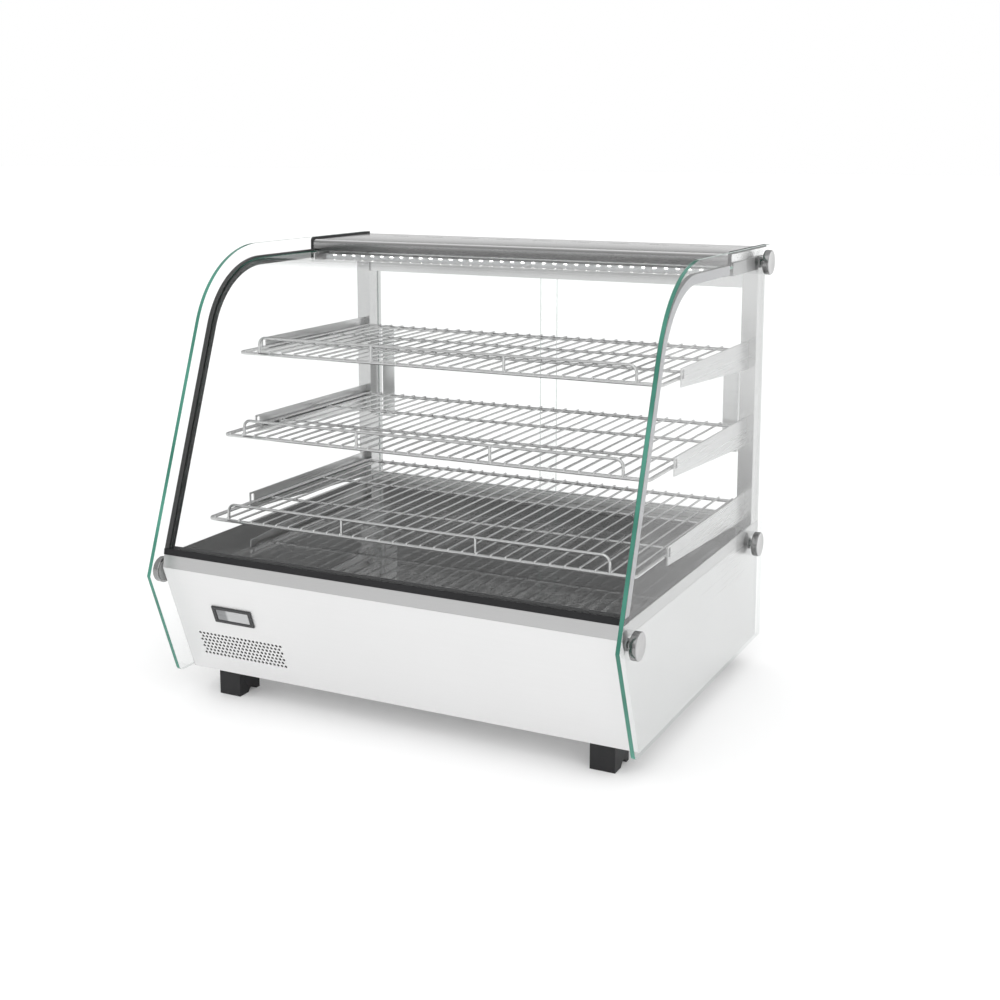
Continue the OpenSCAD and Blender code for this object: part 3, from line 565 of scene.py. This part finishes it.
finishes = {
    "frontSteel": sheetSteel(
        "satinSteelFront", 0.74, 0.46, "grainAlongX", 0.04, 0.10, cloudy=0.6, depth=0.02, metal=0.35),
    "sideSteel": sheetSteel(
        "satinSteelSide", 0.69, 0.28, "grainAlongY", 0.02, 0.04, cloudy=0.8, depth=0.08),
    "stripSteel": sheetSteel(
        "satinSteelStrip", 0.56, 0.36, "grainAlongX", 0.04, 0.08, cloudy=0.6, depth=0.02),
    "railSteel": sheetSteel("satinSteelRail", 0.38, 0.30, "grainAlongY"),
    "brightSteel": sheetSteel("brightSteel", 0.57, 0.22, "grainAlongZ"),
    "bracketSteel": sheetSteel("bracketSteel", 0.60, 0.28, "grainAlongY", 0.03, 0.10),
    "aluminium": sheetSteel("satinAluminium", 0.74, 0.32, "grainAlongX"),
    "pullMetal": sheetSteel("pullAluminium", 0.78, 0.38, "grainAlongZ"),
    "coverSteel": coverSteel("foldedCoverSteel"),
    "floorSteel": floorSteel("mirrorFloorSteel"),
    "chromeCap": capChrome("polishedChrome"),
    "chromeWire": wireChrome("chromedWire"),
    "sideGlass": clearGlass("sideGlass", 0, False, 1.0, "side_glass_left"),
    "frontGlass": clearGlass("curvedGlass", 0, True),
    "doorGlass": clearGlass("doorGlass", 1, False, 0.45),
    "rubber": mouldedPlastic("blackRubber", (0.018, 0.018, 0.019), 0.62, 0.0009, 0.00008, 0.3),
    "gasket": mouldedPlastic("gasketRubber", (0.016, 0.016, 0.017), 0.60, 0.0009, 0.00006, 0.15),
    "trim": trimPlastic("edgeTrim"),
    "footPlastic": mouldedPlastic("footPlastic", (0.014, 0.014, 0.015), 0.50, 0.0008, 0.00006, 0.3),
    "blackPlastic": mouldedPlastic("blackPlastic", (0.020, 0.020, 0.022), 0.36),
    "washer": mouldedPlastic("paleWasher", (0.34, 0.34, 0.34), 0.45),
    "whitePlastic": mouldedPlastic("whitePlastic", (0.62, 0.61, 0.57), 0.40),
    "circuit": mouldedPlastic("circuitBoard", (0.72, 0.73, 0.74), 0.35),
    "diode": glowing("litDiode", (1.0, 0.99, 0.96), 6.0),
    "lens": glowing("milkyLens", (0.93, 0.94, 0.95), 0.25),
    "whiteMark": mouldedPlastic("whiteMarks", (0.80, 0.80, 0.78), 0.45),
    "blackMark": mouldedPlastic("printedMarks", (0.03, 0.03, 0.03), 0.5),
    "rockerGreen": glowing("greenRocker", (0.03, 0.32, 0.10), 0.6),
    "window": smokedWindow("smokedWindow"),
    "zinc": zincPlate("zincPlate"),
    "element": heatedSteel("heatedTube"),
}
print("finishes ready:", len(finishes))


# Helpers for pieces

softLooks = {
    "sharpFrom": 32,
    "flatWithin": 0.4,
    "roundedFrom": 35,
    "roundingSteps": 2,
}


def camelName(node):
    first, *others = node.split("_")
    return first + "".join(word.capitalize() for word in others)


def newPiece(name, mesh, finish):
    mesh.name = name
    mesh.materials.clear()
    mesh.materials.append(finishes[finish])
    piece = bpy.data.objects.new(name, mesh)
    bpy.context.scene.collection.objects.link(piece)
    return piece


def standFor(piece, node):
    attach(piece, bodyOf[node])
    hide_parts(node)


def smooth(mesh, angle=softLooks["sharpFrom"]):
    mesh.shade_smooth()
    mesh.set_sharp_from_angle(angle=math.radians(angle))


def softened(node, finish, edge):
    # the CAD piece again, welded and with its edges rounded
    shape = bmesh.new()
    shape.from_mesh(frame["nodes"][node].data)
    bmesh.ops.remove_doubles(shape, verts=shape.verts, dist=weldDistance)
    flat = math.radians(softLooks["flatWithin"])
    bmesh.ops.dissolve_limit(shape, angle_limit=flat, verts=shape.verts, edges=shape.edges)
    mesh = bpy.data.meshes.new(node)
    shape.to_mesh(mesh)
    shape.free()
    smooth(mesh)
    piece = newPiece(camelName(node), mesh, finish)
    if edge:
        rounding = piece.modifiers.new("roundedEdges", "BEVEL")
        rounding.width = edge * mm
        rounding.segments = softLooks["roundingSteps"]
        rounding.limit_method = "ANGLE"
        rounding.angle_limit = math.radians(softLooks["roundedFrom"])
        rounding.harden_normals = True
    standFor(piece, node)


# finish, slot, edge rounding in millimetres, nodes
softenedGroups = [
    ("frontSteel", "steel_satin", 0.0, ["front_panel"]),
    ("frontSteel", "steel_satin", 0.3, ["rear_panel", "bottom_plate"]),
    ("sideSteel", "steel_satin", 0.4, ["side_panel_left", "side_panel_right"]),
    ("stripSteel", "steel_satin", 0.5, ["top_ring"]),
    ("coverSteel", "steel_satin", 0.3, ["top_cover"]),
    ("floorSteel", "floor_mirror", 0.3, ["floor_plate"]),
    ("brightSteel", "steel_bright", 0.6, ["rear_post_left", "rear_post_right"]),
    ("railSteel", "steel_bright", 0.5, ["top_rail_left", "top_rail_right"]),
    ("aluminium", "aluminium", 0.5, ["door_track_upper", "door_track_lower", "led_housing"]),
    ("bracketSteel", "steel_bright", 0.3, [
        f"bracket_{side}_{level}" for side in ("left", "right") for level in ("bottom", "middle", "top")]),
    ("sideGlass", "clear_glass", 0.6, ["side_glass_left", "side_glass_right"]),
    ("frontGlass", "clear_glass", 0.4, ["front_glass"]),
    ("doorGlass", "clear_glass", 0.5, ["door_pane_left", "door_pane_right"]),
    ("trim", "black_plastic", 0.8, ["front_trim_left", "front_trim_right"]),
    ("gasket", "black_rubber", 1.2, ["front_gasket"]),
    ("rubber", "black_rubber", 0.6, ["cover_seal_left", "cover_seal_right"]),
    ("washer", "white_plastic", 0.2, ["standoff_washers"]),
    ("zinc", "zinc_steel", 0.4, ["standoff_nuts", "foot_screws"]),
    ("footPlastic", "black_plastic", 0.8, ["feet"]),
    ("blackPlastic", "black_plastic", 1.8, ["display_bezel"]),
    ("window", "grey_window", 0.3, ["display_window"]),
    ("blackPlastic", "black_plastic", 0.6, [
        "display_module", "power_switch_body", "light_switch_body", "fan_housing", "fan_rotor"]),
    ("pullMetal", "aluminium", 0.4, ["door_handle_left", "door_handle_right"]),
    ("rockerGreen", "green_rocker", 0.8, ["power_rocker", "light_rocker"]),
    ("zinc", "zinc_steel", 0.6, ["thermostat_body", "plenum_tray"]),
    ("element", "element_steel", 0.0, ["heating_element"]),
    ("whitePlastic", "white_plastic", 1.2, ["led_driver", "terminal_block"]),
    ("lens", "milky_lens", 0.3, ["led_lens"]),
]
for finish, slot, edge, nodes in softenedGroups:
    for node in nodes:
        softened(node, finish, edge)
print("softened pieces ready")


# Shelves

shelfLooks = {
    "frameWire": 5.0,
    "wire": 3.0,
    "crossWire": 4.0,
    "railWire": 4.0,
    "pitch": 20.4,
    "wireRise": 3.2,
    "cornerRadius": 7.0,
    "railInset": 33.0,
    "railPosts": 100.0,
    "railBend": 10.0,
    "tipDrop": 3.0,
    "tipBend": 1.8,
    "endGap": 6.0,
}


def roundedPath(points, radius, closed=False, steps=6):
    # the same corners with each inner one turned into an arc
    path = []
    count = len(points)
    for index, corner in enumerate(points):
        corner = Vector(corner)
        if not closed and index in (0, count - 1):
            path.append(corner)
            continue
        before = (Vector(points[index - 1]) - corner).normalized()
        after = (Vector(points[(index + 1) % count]) - corner).normalized()
        half = before.angle(after) / 2
        reach = radius / math.tan(half)
        centre = corner + (before + after).normalized() * (radius / math.sin(half))
        start = corner + before * reach - centre
        end = corner + after * reach - centre
        turn = start.angle(end)
        axis = start.cross(end)
        for step in range(steps + 1):
            path.append(centre + Matrix.Rotation(turn * step / steps, 3, axis) @ start)
    return path


def pathCurve(name, paths, diameter=0.0, closed=False):
    data = bpy.data.curves.new(name, "CURVE")
    data.dimensions = "3D"
    data.bevel_depth = diameter / 2
    data.bevel_resolution = 4
    data.use_fill_caps = True
    for path in paths:
        spline = data.splines.new("POLY")
        spline.points.add(len(path) - 1)
        spline.use_cyclic_u = closed
        for point, place in zip(spline.points, path):
            point.co = (*place, 1.0)
    curve = bpy.data.objects.new(name, data)
    bpy.context.scene.collection.objects.link(curve)
    return curve


def bakedMesh(thing):
    # the evaluated object as a plain mesh; the object itself goes
    bpy.context.view_layer.update()
    graph = bpy.context.evaluated_depsgraph_get()
    mesh = bpy.data.meshes.new_from_object(thing.evaluated_get(graph))
    bpy.data.objects.remove(thing)
    return mesh


def joinedMesh(name, meshes):
    shape = bmesh.new()
    for mesh in meshes:
        shape.from_mesh(mesh)
    joined = bpy.data.meshes.new(name)
    shape.to_mesh(joined)
    shape.free()
    return joined


class Growth(Graph):
    # a Geometry Nodes tree with named inputs
    def __init__(self, name, **defaults):
        super().__init__(bpy.data.node_groups.new(name, "GeometryNodeTree"))
        self.tree.interface.new_socket("Geometry", in_out="OUTPUT", socket_type="NodeSocketGeometry")
        self.tree.interface.new_socket("Geometry", in_out="INPUT", socket_type="NodeSocketGeometry")
        self.identifiers = {}
        for key, (kind, default) in defaults.items():
            socket = self.tree.interface.new_socket(key, in_out="INPUT", socket_type="NodeSocket" + kind)
            if default is not None:
                socket.default_value = default
            self.identifiers[key] = socket.identifier
        self.start = self.tree.nodes.new("NodeGroupInput")

    def given(self, key):
        return Value(self, self.start.outputs[key])

    def finishTree(self, geometry):
        whole = self.make("GeometryNodeRealizeInstances", None, {0: geometry})
        coated = self.make("GeometryNodeSetMaterial", None, {0: whole, "Material": self.given("finish")})
        end = self.tree.nodes.new("NodeGroupOutput")
        self.tree.links.new(coated.socket, end.inputs[0])

    def grow(self, base, **values):
        modifier = base.modifiers.new("growth", "NODES")
        modifier.node_group = self.tree
        for key, given in values.items():
            modifier[self.identifiers[key]] = given
        return bakedMesh(base)


def wireRowTree():
    tree = Growth(
        "wireRow", count=("Int", 3), pitch=("Float", 0.02), thickness=("Float", 0.003),
        finish=("Material", None))
    inputs = {"Resolution": 10, "Radius": tree.given("thickness") / 2}
    ring = tree.make("GeometryNodeCurvePrimitiveCircle", None, inputs)
    inputs = {"Curve": tree.given("Geometry"), "Profile Curve": ring, "Fill Caps": True}
    wire = tree.make("GeometryNodeCurveToMesh", None, inputs)
    step = tree.make("ShaderNodeCombineXYZ", None, {0: tree.given("pitch")})
    first = (1 - tree.given("count")) * tree.given("pitch") / 2
    start = tree.make("ShaderNodeCombineXYZ", None, {0: first})
    inputs = {"Count": tree.given("count"), "Start Location": start, "Offset": step}
    row = tree.make("GeometryNodeMeshLine", {"mode": "OFFSET", "count_mode": "TOTAL"}, inputs)
    tree.finishTree(tree.make("GeometryNodeInstanceOnPoints", None, {"Points": row, "Instance": wire}))
    return tree


wireRow = wireRowTree()


def makeShelf(node):
    size = {key: length * mm for key, length in shelfLooks.items()}
    lo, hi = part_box(node)
    half = hi.x - size["frameWire"] / 2
    front = lo.y + size["frameWire"] / 2
    rear = hi.y - size["frameWire"] / 2
    level = lo.z + size["frameWire"] / 2
    top = hi.z - size["railWire"] / 2
    rest = level + size["wireRise"]
    corners = [(-half, front, level), (half, front, level), (half, rear, level), (-half, rear, level)]
    around = roundedPath(corners, size["cornerRadius"], closed=True)
    hoop = pathCurve("hoop", [around], size["frameWire"], closed=True)
    across = []
    for share in (1 / 3, 2 / 3):
        y = front + (rear - front) * share
        across.append([(-half, y, level), (half, y, level)])
    ties = pathCurve("ties", across, size["crossWire"])
    end = half - size["railInset"]
    bow = [(-end, front, level), (-end, front, top), (end, front, top), (end, front, level)]
    foot = level - size["railWire"] / 4
    posts = [[(x, front, foot), (x, front, top)] for x in (-size["railPosts"], size["railPosts"])]
    rail = pathCurve("rail", [roundedPath(bow, size["railBend"]), *posts], size["railWire"])
    tip = front - size["wire"] / 2
    strand = [(0, tip, rest - size["tipDrop"]), (0, tip, rest), (0, rear + size["wire"] / 2, rest)]
    single = pathCurve("strand", [roundedPath(strand, size["tipBend"], steps=4)])
    count = 2 * int((half - size["endGap"]) / size["pitch"]) + 1
    strands = wireRow.grow(
        single, count=count, pitch=size["pitch"], thickness=size["wire"], finish=finishes["chromeWire"])
    mesh = joinedMesh(node, [bakedMesh(hoop), bakedMesh(ties), bakedMesh(rail), strands])
    smooth(mesh, 50)
    standFor(newPiece(camelName(node), mesh, "chromeWire"), node)


for node in ("shelf_bottom", "shelf_middle", "shelf_top"):
    makeShelf(node)
print("shelves ready")


# Small turned and repeated pieces

def spun(outline, steps=40, ribs=0, closed=False):
    # an outline of (radius, height, rib depth) in millimetres, turned about Z
    shape = bmesh.new()
    rings = []
    for radius, height, ribDepth in outline:
        ring = []
        for step in range(steps if radius else 1):
            turn = 2 * math.pi * step / steps
            reach = (radius - ribDepth * (0.5 + 0.5 * math.cos(ribs * turn))) * mm
            ring.append(shape.verts.new((reach * math.cos(turn), reach * math.sin(turn), height * mm)))
        rings.append(ring)
    pairs = list(zip(rings, rings[1:]))
    if closed:
        pairs.append((rings[-1], rings[0]))
    for lower, upper in pairs:
        for step in range(steps):
            after = (step + 1) % steps
            corners = [ring[place % len(ring)] for ring, place in (
                (lower, step), (lower, after), (upper, after), (upper, step))]
            shape.faces.new(list(dict.fromkeys(corners)))
    bmesh.ops.recalc_face_normals(shape, faces=shape.faces)
    mesh = bpy.data.meshes.new("turned")
    shape.to_mesh(mesh)
    shape.free()
    smooth(mesh)
    return mesh


def blockMesh(lo, hi, edge=0.0):
    shape = bmesh.new()
    bmesh.ops.create_cube(shape, size=1.0)
    for corner in shape.verts:
        corner.co = [low + (high - low) * (part + 0.5) for low, high, part in zip(lo, hi, corner.co)]
    if edge:
        bmesh.ops.bevel(shape, geom=shape.edges[:], offset=edge, segments=2, profile=0.5, affect="EDGES")
    mesh = bpy.data.meshes.new("block")
    shape.to_mesh(mesh)
    shape.free()
    smooth(mesh)
    return mesh


def moved(mesh, matrix):
    mesh.transform(matrix)
    return mesh


def facingRear(lo, hi):
    # stands a turned piece on its front end, with its axis towards the rear
    start = Matrix.Translation(((lo.x + hi.x) / 2, lo.y, (lo.z + hi.z) / 2))
    return start @ Matrix.Rotation(math.radians(-90), 4, "X")


def copiesTree():
    tree = Growth(
        "copiesOnPoints", part=("Object", None), turn=("Vector", (0, 0, 0)), finish=("Material", None))
    part = tree.make("GeometryNodeObjectInfo", None, {"Object": tree.given("part")}, output="Geometry")
    inputs = {"Points": tree.given("Geometry"), "Instance": part, "Rotation": tree.given("turn")}
    tree.finishTree(tree.make("GeometryNodeInstanceOnPoints", None, inputs))
    return tree


copiesOnPoints = copiesTree()


def copies(mesh, places, turn, finish):
    part = bpy.data.objects.new("part", mesh)
    bpy.context.scene.collection.objects.link(part)
    dots = bpy.data.meshes.new("dots")
    dots.from_pydata([tuple(place) for place in places], [], [])
    base = bpy.data.objects.new("dots", dots)
    bpy.context.scene.collection.objects.link(base)
    radians = [math.radians(angle) for angle in turn]
    grown = copiesOnPoints.grow(base, part=part, turn=radians, finish=finishes[finish])
    bpy.data.objects.remove(part)
    return grown


capLooks = {
    "thickness": 9.0,
    "rim": 1.4,
    "rimSteps": 6,
    "dish": 0.25,
    "stud": 8.0,
    "chamfer": 0.6,
    "studChamfer": 0.5,
}


def makeCaps():
    boxes = solidsOf("standoff_caps")
    lo, hi = boxes[0]
    radius = (hi.z - lo.z) / 2 / mm
    length = (hi.x - lo.x) / mm
    looks = capLooks
    rim = looks["rim"]
    thick = looks["thickness"]
    edge = looks["chamfer"]
    outline = [(0, -looks["dish"], 0), (radius - rim - 1, -looks["dish"] * 0.6, 0)]
    for step in range(looks["rimSteps"] + 1):
        turn = math.radians(90 - 90 * step / looks["rimSteps"])
        outline.append((radius - rim + rim * math.cos(turn), -rim + rim * math.sin(turn), 0))
    stud = looks["stud"] / 2
    point = looks["studChamfer"]
    outline += [
        (radius, edge - thick, 0),
        (radius - edge, -thick, 0),
        (stud, -thick, 0),
        (stud, point - length, 0),
        (stud - point, -length, 0),
        (0, -length, 0),
    ]
    cap = spun(outline, steps=48)
    sides = []
    for side in (1, -1):
        places = []
        for lo, hi in boxes:
            if lo.x * side > 0:
                places.append(Vector((hi.x if side > 0 else lo.x, (lo.y + hi.y) / 2, (lo.z + hi.z) / 2)))
        sides.append(copies(cap, places, (0, 90 * side, 0), "chromeCap"))
    mesh = joinedMesh("standoffCaps", sides)
    smooth(mesh)
    standFor(newPiece("standoffCaps", mesh, "chromeCap"), "standoff_caps")


screwLooks = {
    "headHeight": 2.2,
    "shank": 4.0,
    "slotLength": 4.4,
    "slotWidth": 0.9,
    "slotDepth": 1.2,
    "chamfer": 0.4,
    "dome": ((0.45, 0.05), (0.7, 0.22), (0.88, 0.5), (0.97, 0.85), (1.0, 1.2)),
}


def crossCut(mesh):
    # a cross recess sunk into the head
    long = screwLooks["slotLength"] / 2 * mm
    wide = screwLooks["slotWidth"] / 2 * mm
    deep = screwLooks["slotDepth"] * mm
    bars = [
        blockMesh((-long, -wide, -deep), (long, wide, deep)),
        blockMesh((-wide, -long, -deep), (wide, long, deep)),
    ]
    head = bpy.data.objects.new("head", mesh)
    bpy.context.scene.collection.objects.link(head)
    cutters = []
    for bar in bars:
        cutter = bpy.data.objects.new("cutter", bar)
        bpy.context.scene.collection.objects.link(cutter)
        cutters.append(cutter)
        cut = head.modifiers.new("cut", "BOOLEAN")
        cut.object = cutter
        cut.solver = "EXACT"
    cutMesh = bakedMesh(head)
    for cutter in cutters:
        bpy.data.objects.remove(cutter)
    smooth(cutMesh)
    return cutMesh


def makePanelScrews():
    boxes = solidsOf("panel_screws")
    lo, hi = boxes[0]
    radius = (hi.z - lo.z) / 2 / mm
    length = (hi.y - lo.y) / mm
    height = screwLooks["headHeight"]
    stud = screwLooks["shank"] / 2
    point = screwLooks["chamfer"]
    outline = [(0, 0, 0)]
    for part, drop in screwLooks["dome"]:
        outline.append((radius * part, -drop, 0))
    outline += [
        (radius, -height, 0),
        (stud, -height, 0),
        (stud, point - length, 0),
        (stud - point, -length, 0),
        (0, -length, 0),
    ]
    head = crossCut(spun(outline, steps=24))
    places = [((lo.x + hi.x) / 2, hi.y, (lo.z + hi.z) / 2) for lo, hi in boxes]
    mesh = copies(head, places, (-90, 0, 0), "zinc")
    smooth(mesh)
    standFor(newPiece("panelScrews", mesh, "zinc"), "panel_screws")


knobLooks = {
    "skirtHeight": 4.0,
    "gripInset": 3.2,
    "topInset": 5.0,
    "ribs": 24,
    "ribDepth": 0.8,
    "edge": 0.5,
    "shoulder": 1.0,
    "gripFoot": (0.6, 0.8),
    "crown": ((0.4, 2.0), (-0.3, 1.2), (-1.4, 0.6)),
    "pointerWidth": 1.8,
    "pointerLength": 11.0,
    "pointerHeight": 0.9,
    "pointerGap": 1.6,
    "ticks": 10,
    "tickRadius": 25.5,
    "tickLength": 3.4,
    "tickWidth": 0.8,
    "tickHeight": 0.15,
    "sweep": 270,
}


def tickTree():
    tree = Growth(
        "ticksRound", part=("Object", None), count=("Int", 10), radius=("Float", 0.025),
        sweep=("Float", 4.7), place=("Vector", (0, 0, 0)), turn=("Vector", (0, 0, 0)),
        finish=("Material", None))
    start = math.pi / 2 - tree.given("sweep") / 2
    inputs = {
        "Resolution": tree.given("count"), "Radius": tree.given("radius"),
        "Start Angle": start, "Sweep Angle": tree.given("sweep"),
    }
    arc = tree.make("GeometryNodeCurveArc", {"mode": "RADIUS"}, inputs)
    points = tree.make("GeometryNodeCurveToPoints", {"mode": "EVALUATED"}, {"Curve": arc}).socket.node
    part = tree.make("GeometryNodeObjectInfo", None, {"Object": tree.given("part")}, output="Geometry")
    inputs = {
        "Points": Value(tree, points.outputs["Points"]), "Instance": part,
        "Rotation": Value(tree, points.outputs["Rotation"]),
    }
    ticks = tree.make("GeometryNodeInstanceOnPoints", None, inputs)
    inputs = {"Geometry": ticks, "Translation": tree.given("place"), "Rotation": tree.given("turn")}
    tree.finishTree(tree.make("GeometryNodeTransform", None, inputs))
    return tree


def makeKnob():
    lo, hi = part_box("thermostat_knob")
    radius = (hi.x - lo.x) / 2 / mm
    height = (hi.y - lo.y) / mm
    looks = knobLooks
    grip = radius - looks["gripInset"]
    top = radius - looks["topInset"]
    dent = looks["ribDepth"]
    skirt = looks["skirtHeight"]
    edge = looks["edge"]
    shoulder = looks["shoulder"]
    footOut, footUp = looks["gripFoot"]
    outline = [
        (0, 0, 0),
        (radius - edge, 0, 0),
        (radius, edge, 0),
        (radius, skirt - shoulder, 0),
        (radius - shoulder, skirt, 0),
        (grip + footOut, skirt, 0),
        (grip, skirt + footUp, dent),
    ]
    for (out, down), share in zip(looks["crown"], (1, 0.6, 0)):
        outline.append((top + out, height - down, dent * share))
    outline.append((0, height - looks["crown"][-1][1], 0))
    stand = facingRear(lo, hi)
    knob = moved(spun(outline, steps=144, ribs=looks["ribs"]), stand)
    standFor(newPiece("thermostatKnob", knob, "blackPlastic"), "thermostat_knob")
    half = looks["pointerWidth"] / 2
    far = top - looks["pointerGap"]
    lowest = Vector((-half, -far, height - looks["pointerHeight"])) * mm
    highest = Vector((half, looks["pointerLength"] - far, height)) * mm
    bar = blockMesh(lowest, highest, 0.25 * mm)
    pointer = newPiece("knobPointer", moved(bar, stand), "whiteMark")
    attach(pointer, bodyOf["thermostat_knob"])


def makeDial():
    lo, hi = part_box("thermostat_knob")
    panelLo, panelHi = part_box("rear_panel")
    looks = knobLooks
    corner = Vector((looks["tickLength"], 2 * looks["tickHeight"], looks["tickWidth"])) * (mm / 2)
    part = bpy.data.objects.new("tick", blockMesh(-corner, corner))
    bpy.context.scene.collection.objects.link(part)
    base = bpy.data.objects.new("dialTicks", bpy.data.meshes.new("dialTicks"))
    bpy.context.scene.collection.objects.link(base)
    mesh = tickTree().grow(
        base, part=part, count=looks["ticks"], radius=looks["tickRadius"] * mm,
        sweep=math.radians(looks["sweep"]), place=((lo.x + hi.x) / 2, panelHi.y, (lo.z + hi.z) / 2),
        turn=(math.radians(90), 0, 0), finish=finishes["blackMark"])
    bpy.data.objects.remove(part)
    dial = newPiece("dialTicks", mesh, "blackMark")
    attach(dial, bodyOf["rear_panel"])


glandLooks = {
    "outside": 16.0,
    "flange": 6.0,
    "flangeEdge": 0.5,
    "shoulder": (1.0, 0.8),
    "bore": 8.0,
    "thread": 16.0,
    "chamfer": 0.6,
    "nutProud": (1.8, 1.4),
    "nutLength": 6.0,
    "crown": (0.4, 1.4),
    "ribs": 16,
    "ribDepth": 0.9,
}


def makeGland():
    lo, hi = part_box("cable_gland")
    looks = glandLooks
    wide = (hi.x - lo.x) / 2 / mm
    deep = (hi.y - lo.y) / mm
    bore = looks["bore"] / 2
    thread = looks["thread"] / 2
    inner = deep - looks["outside"]
    flange = inner + looks["flange"]
    chamfer = looks["chamfer"]
    edge = looks["flangeEdge"]
    shoulderIn, shoulderDown = looks["shoulder"]
    nutFoot, nutTop = looks["nutProud"]
    crownOut, crownIn = looks["crown"]
    outline = [
        (bore, 0, 0),
        (thread - chamfer, 0, 0),
        (thread, chamfer, 0),
        (thread, inner, 0),
        (wide - edge, inner, 0),
        (wide, inner + edge, 0),
        (wide, flange - shoulderDown, 0),
        (wide - shoulderIn, flange, 0),
        (thread + nutFoot, flange, looks["ribDepth"]),
        (thread + nutTop, flange + looks["nutLength"], looks["ribDepth"]),
        (thread - crownOut, deep - shoulderIn, 0),
        (thread - crownIn, deep, 0),
        (bore + chamfer, deep, 0),
        (bore, deep - shoulderDown, 0),
    ]
    stand = facingRear(lo, hi)
    gland = moved(spun(outline, steps=96, ribs=looks["ribs"], closed=True), stand)
    standFor(newPiece("cableGland", gland, "blackPlastic"), "cable_gland")


lightLooks = {
    "boardThickness": 1.0,
    "pitch": 16.7,
    "diodeWidth": 5.0,
    "diodeHeight": 1.8,
    "diodeDepth": 1.2,
    "endGap": 10.0,
}


def makeLight():
    # a pale circuit strip with a row of lit diodes on its front
    lo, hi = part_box("led_strip")
    looks = lightLooks
    board = lo.y + looks["diodeDepth"] * mm
    strip = newPiece("ledBoard", blockMesh((lo.x, board, lo.z), (hi.x, hi.y, hi.z), 0.2 * mm), "circuit")
    standFor(strip, "led_strip")
    count = int(((hi.x - lo.x) / mm - 2 * looks["endGap"]) / looks["pitch"]) + 1
    half = Vector((looks["diodeWidth"], looks["diodeDepth"], looks["diodeHeight"])) * (mm / 2)
    diode = blockMesh(-half, half, 0.4 * mm)
    middle = Vector(((lo.x + hi.x) / 2, lo.y + half.y, hi.z - half.z))
    step = Vector((looks["pitch"] * mm, 0, 0))
    places = [middle + step * (index - (count - 1) / 2) for index in range(count)]
    mesh = copies(diode, places, (0, 0, 0), "diode")
    smooth(mesh)
    diodes = newPiece("ledDiodes", mesh, "diode")
    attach(diodes, bodyOf["led_strip"])


makeCaps()
makePanelScrews()
makeKnob()
makeDial()
makeGland()
makeLight()
print("small pieces ready")
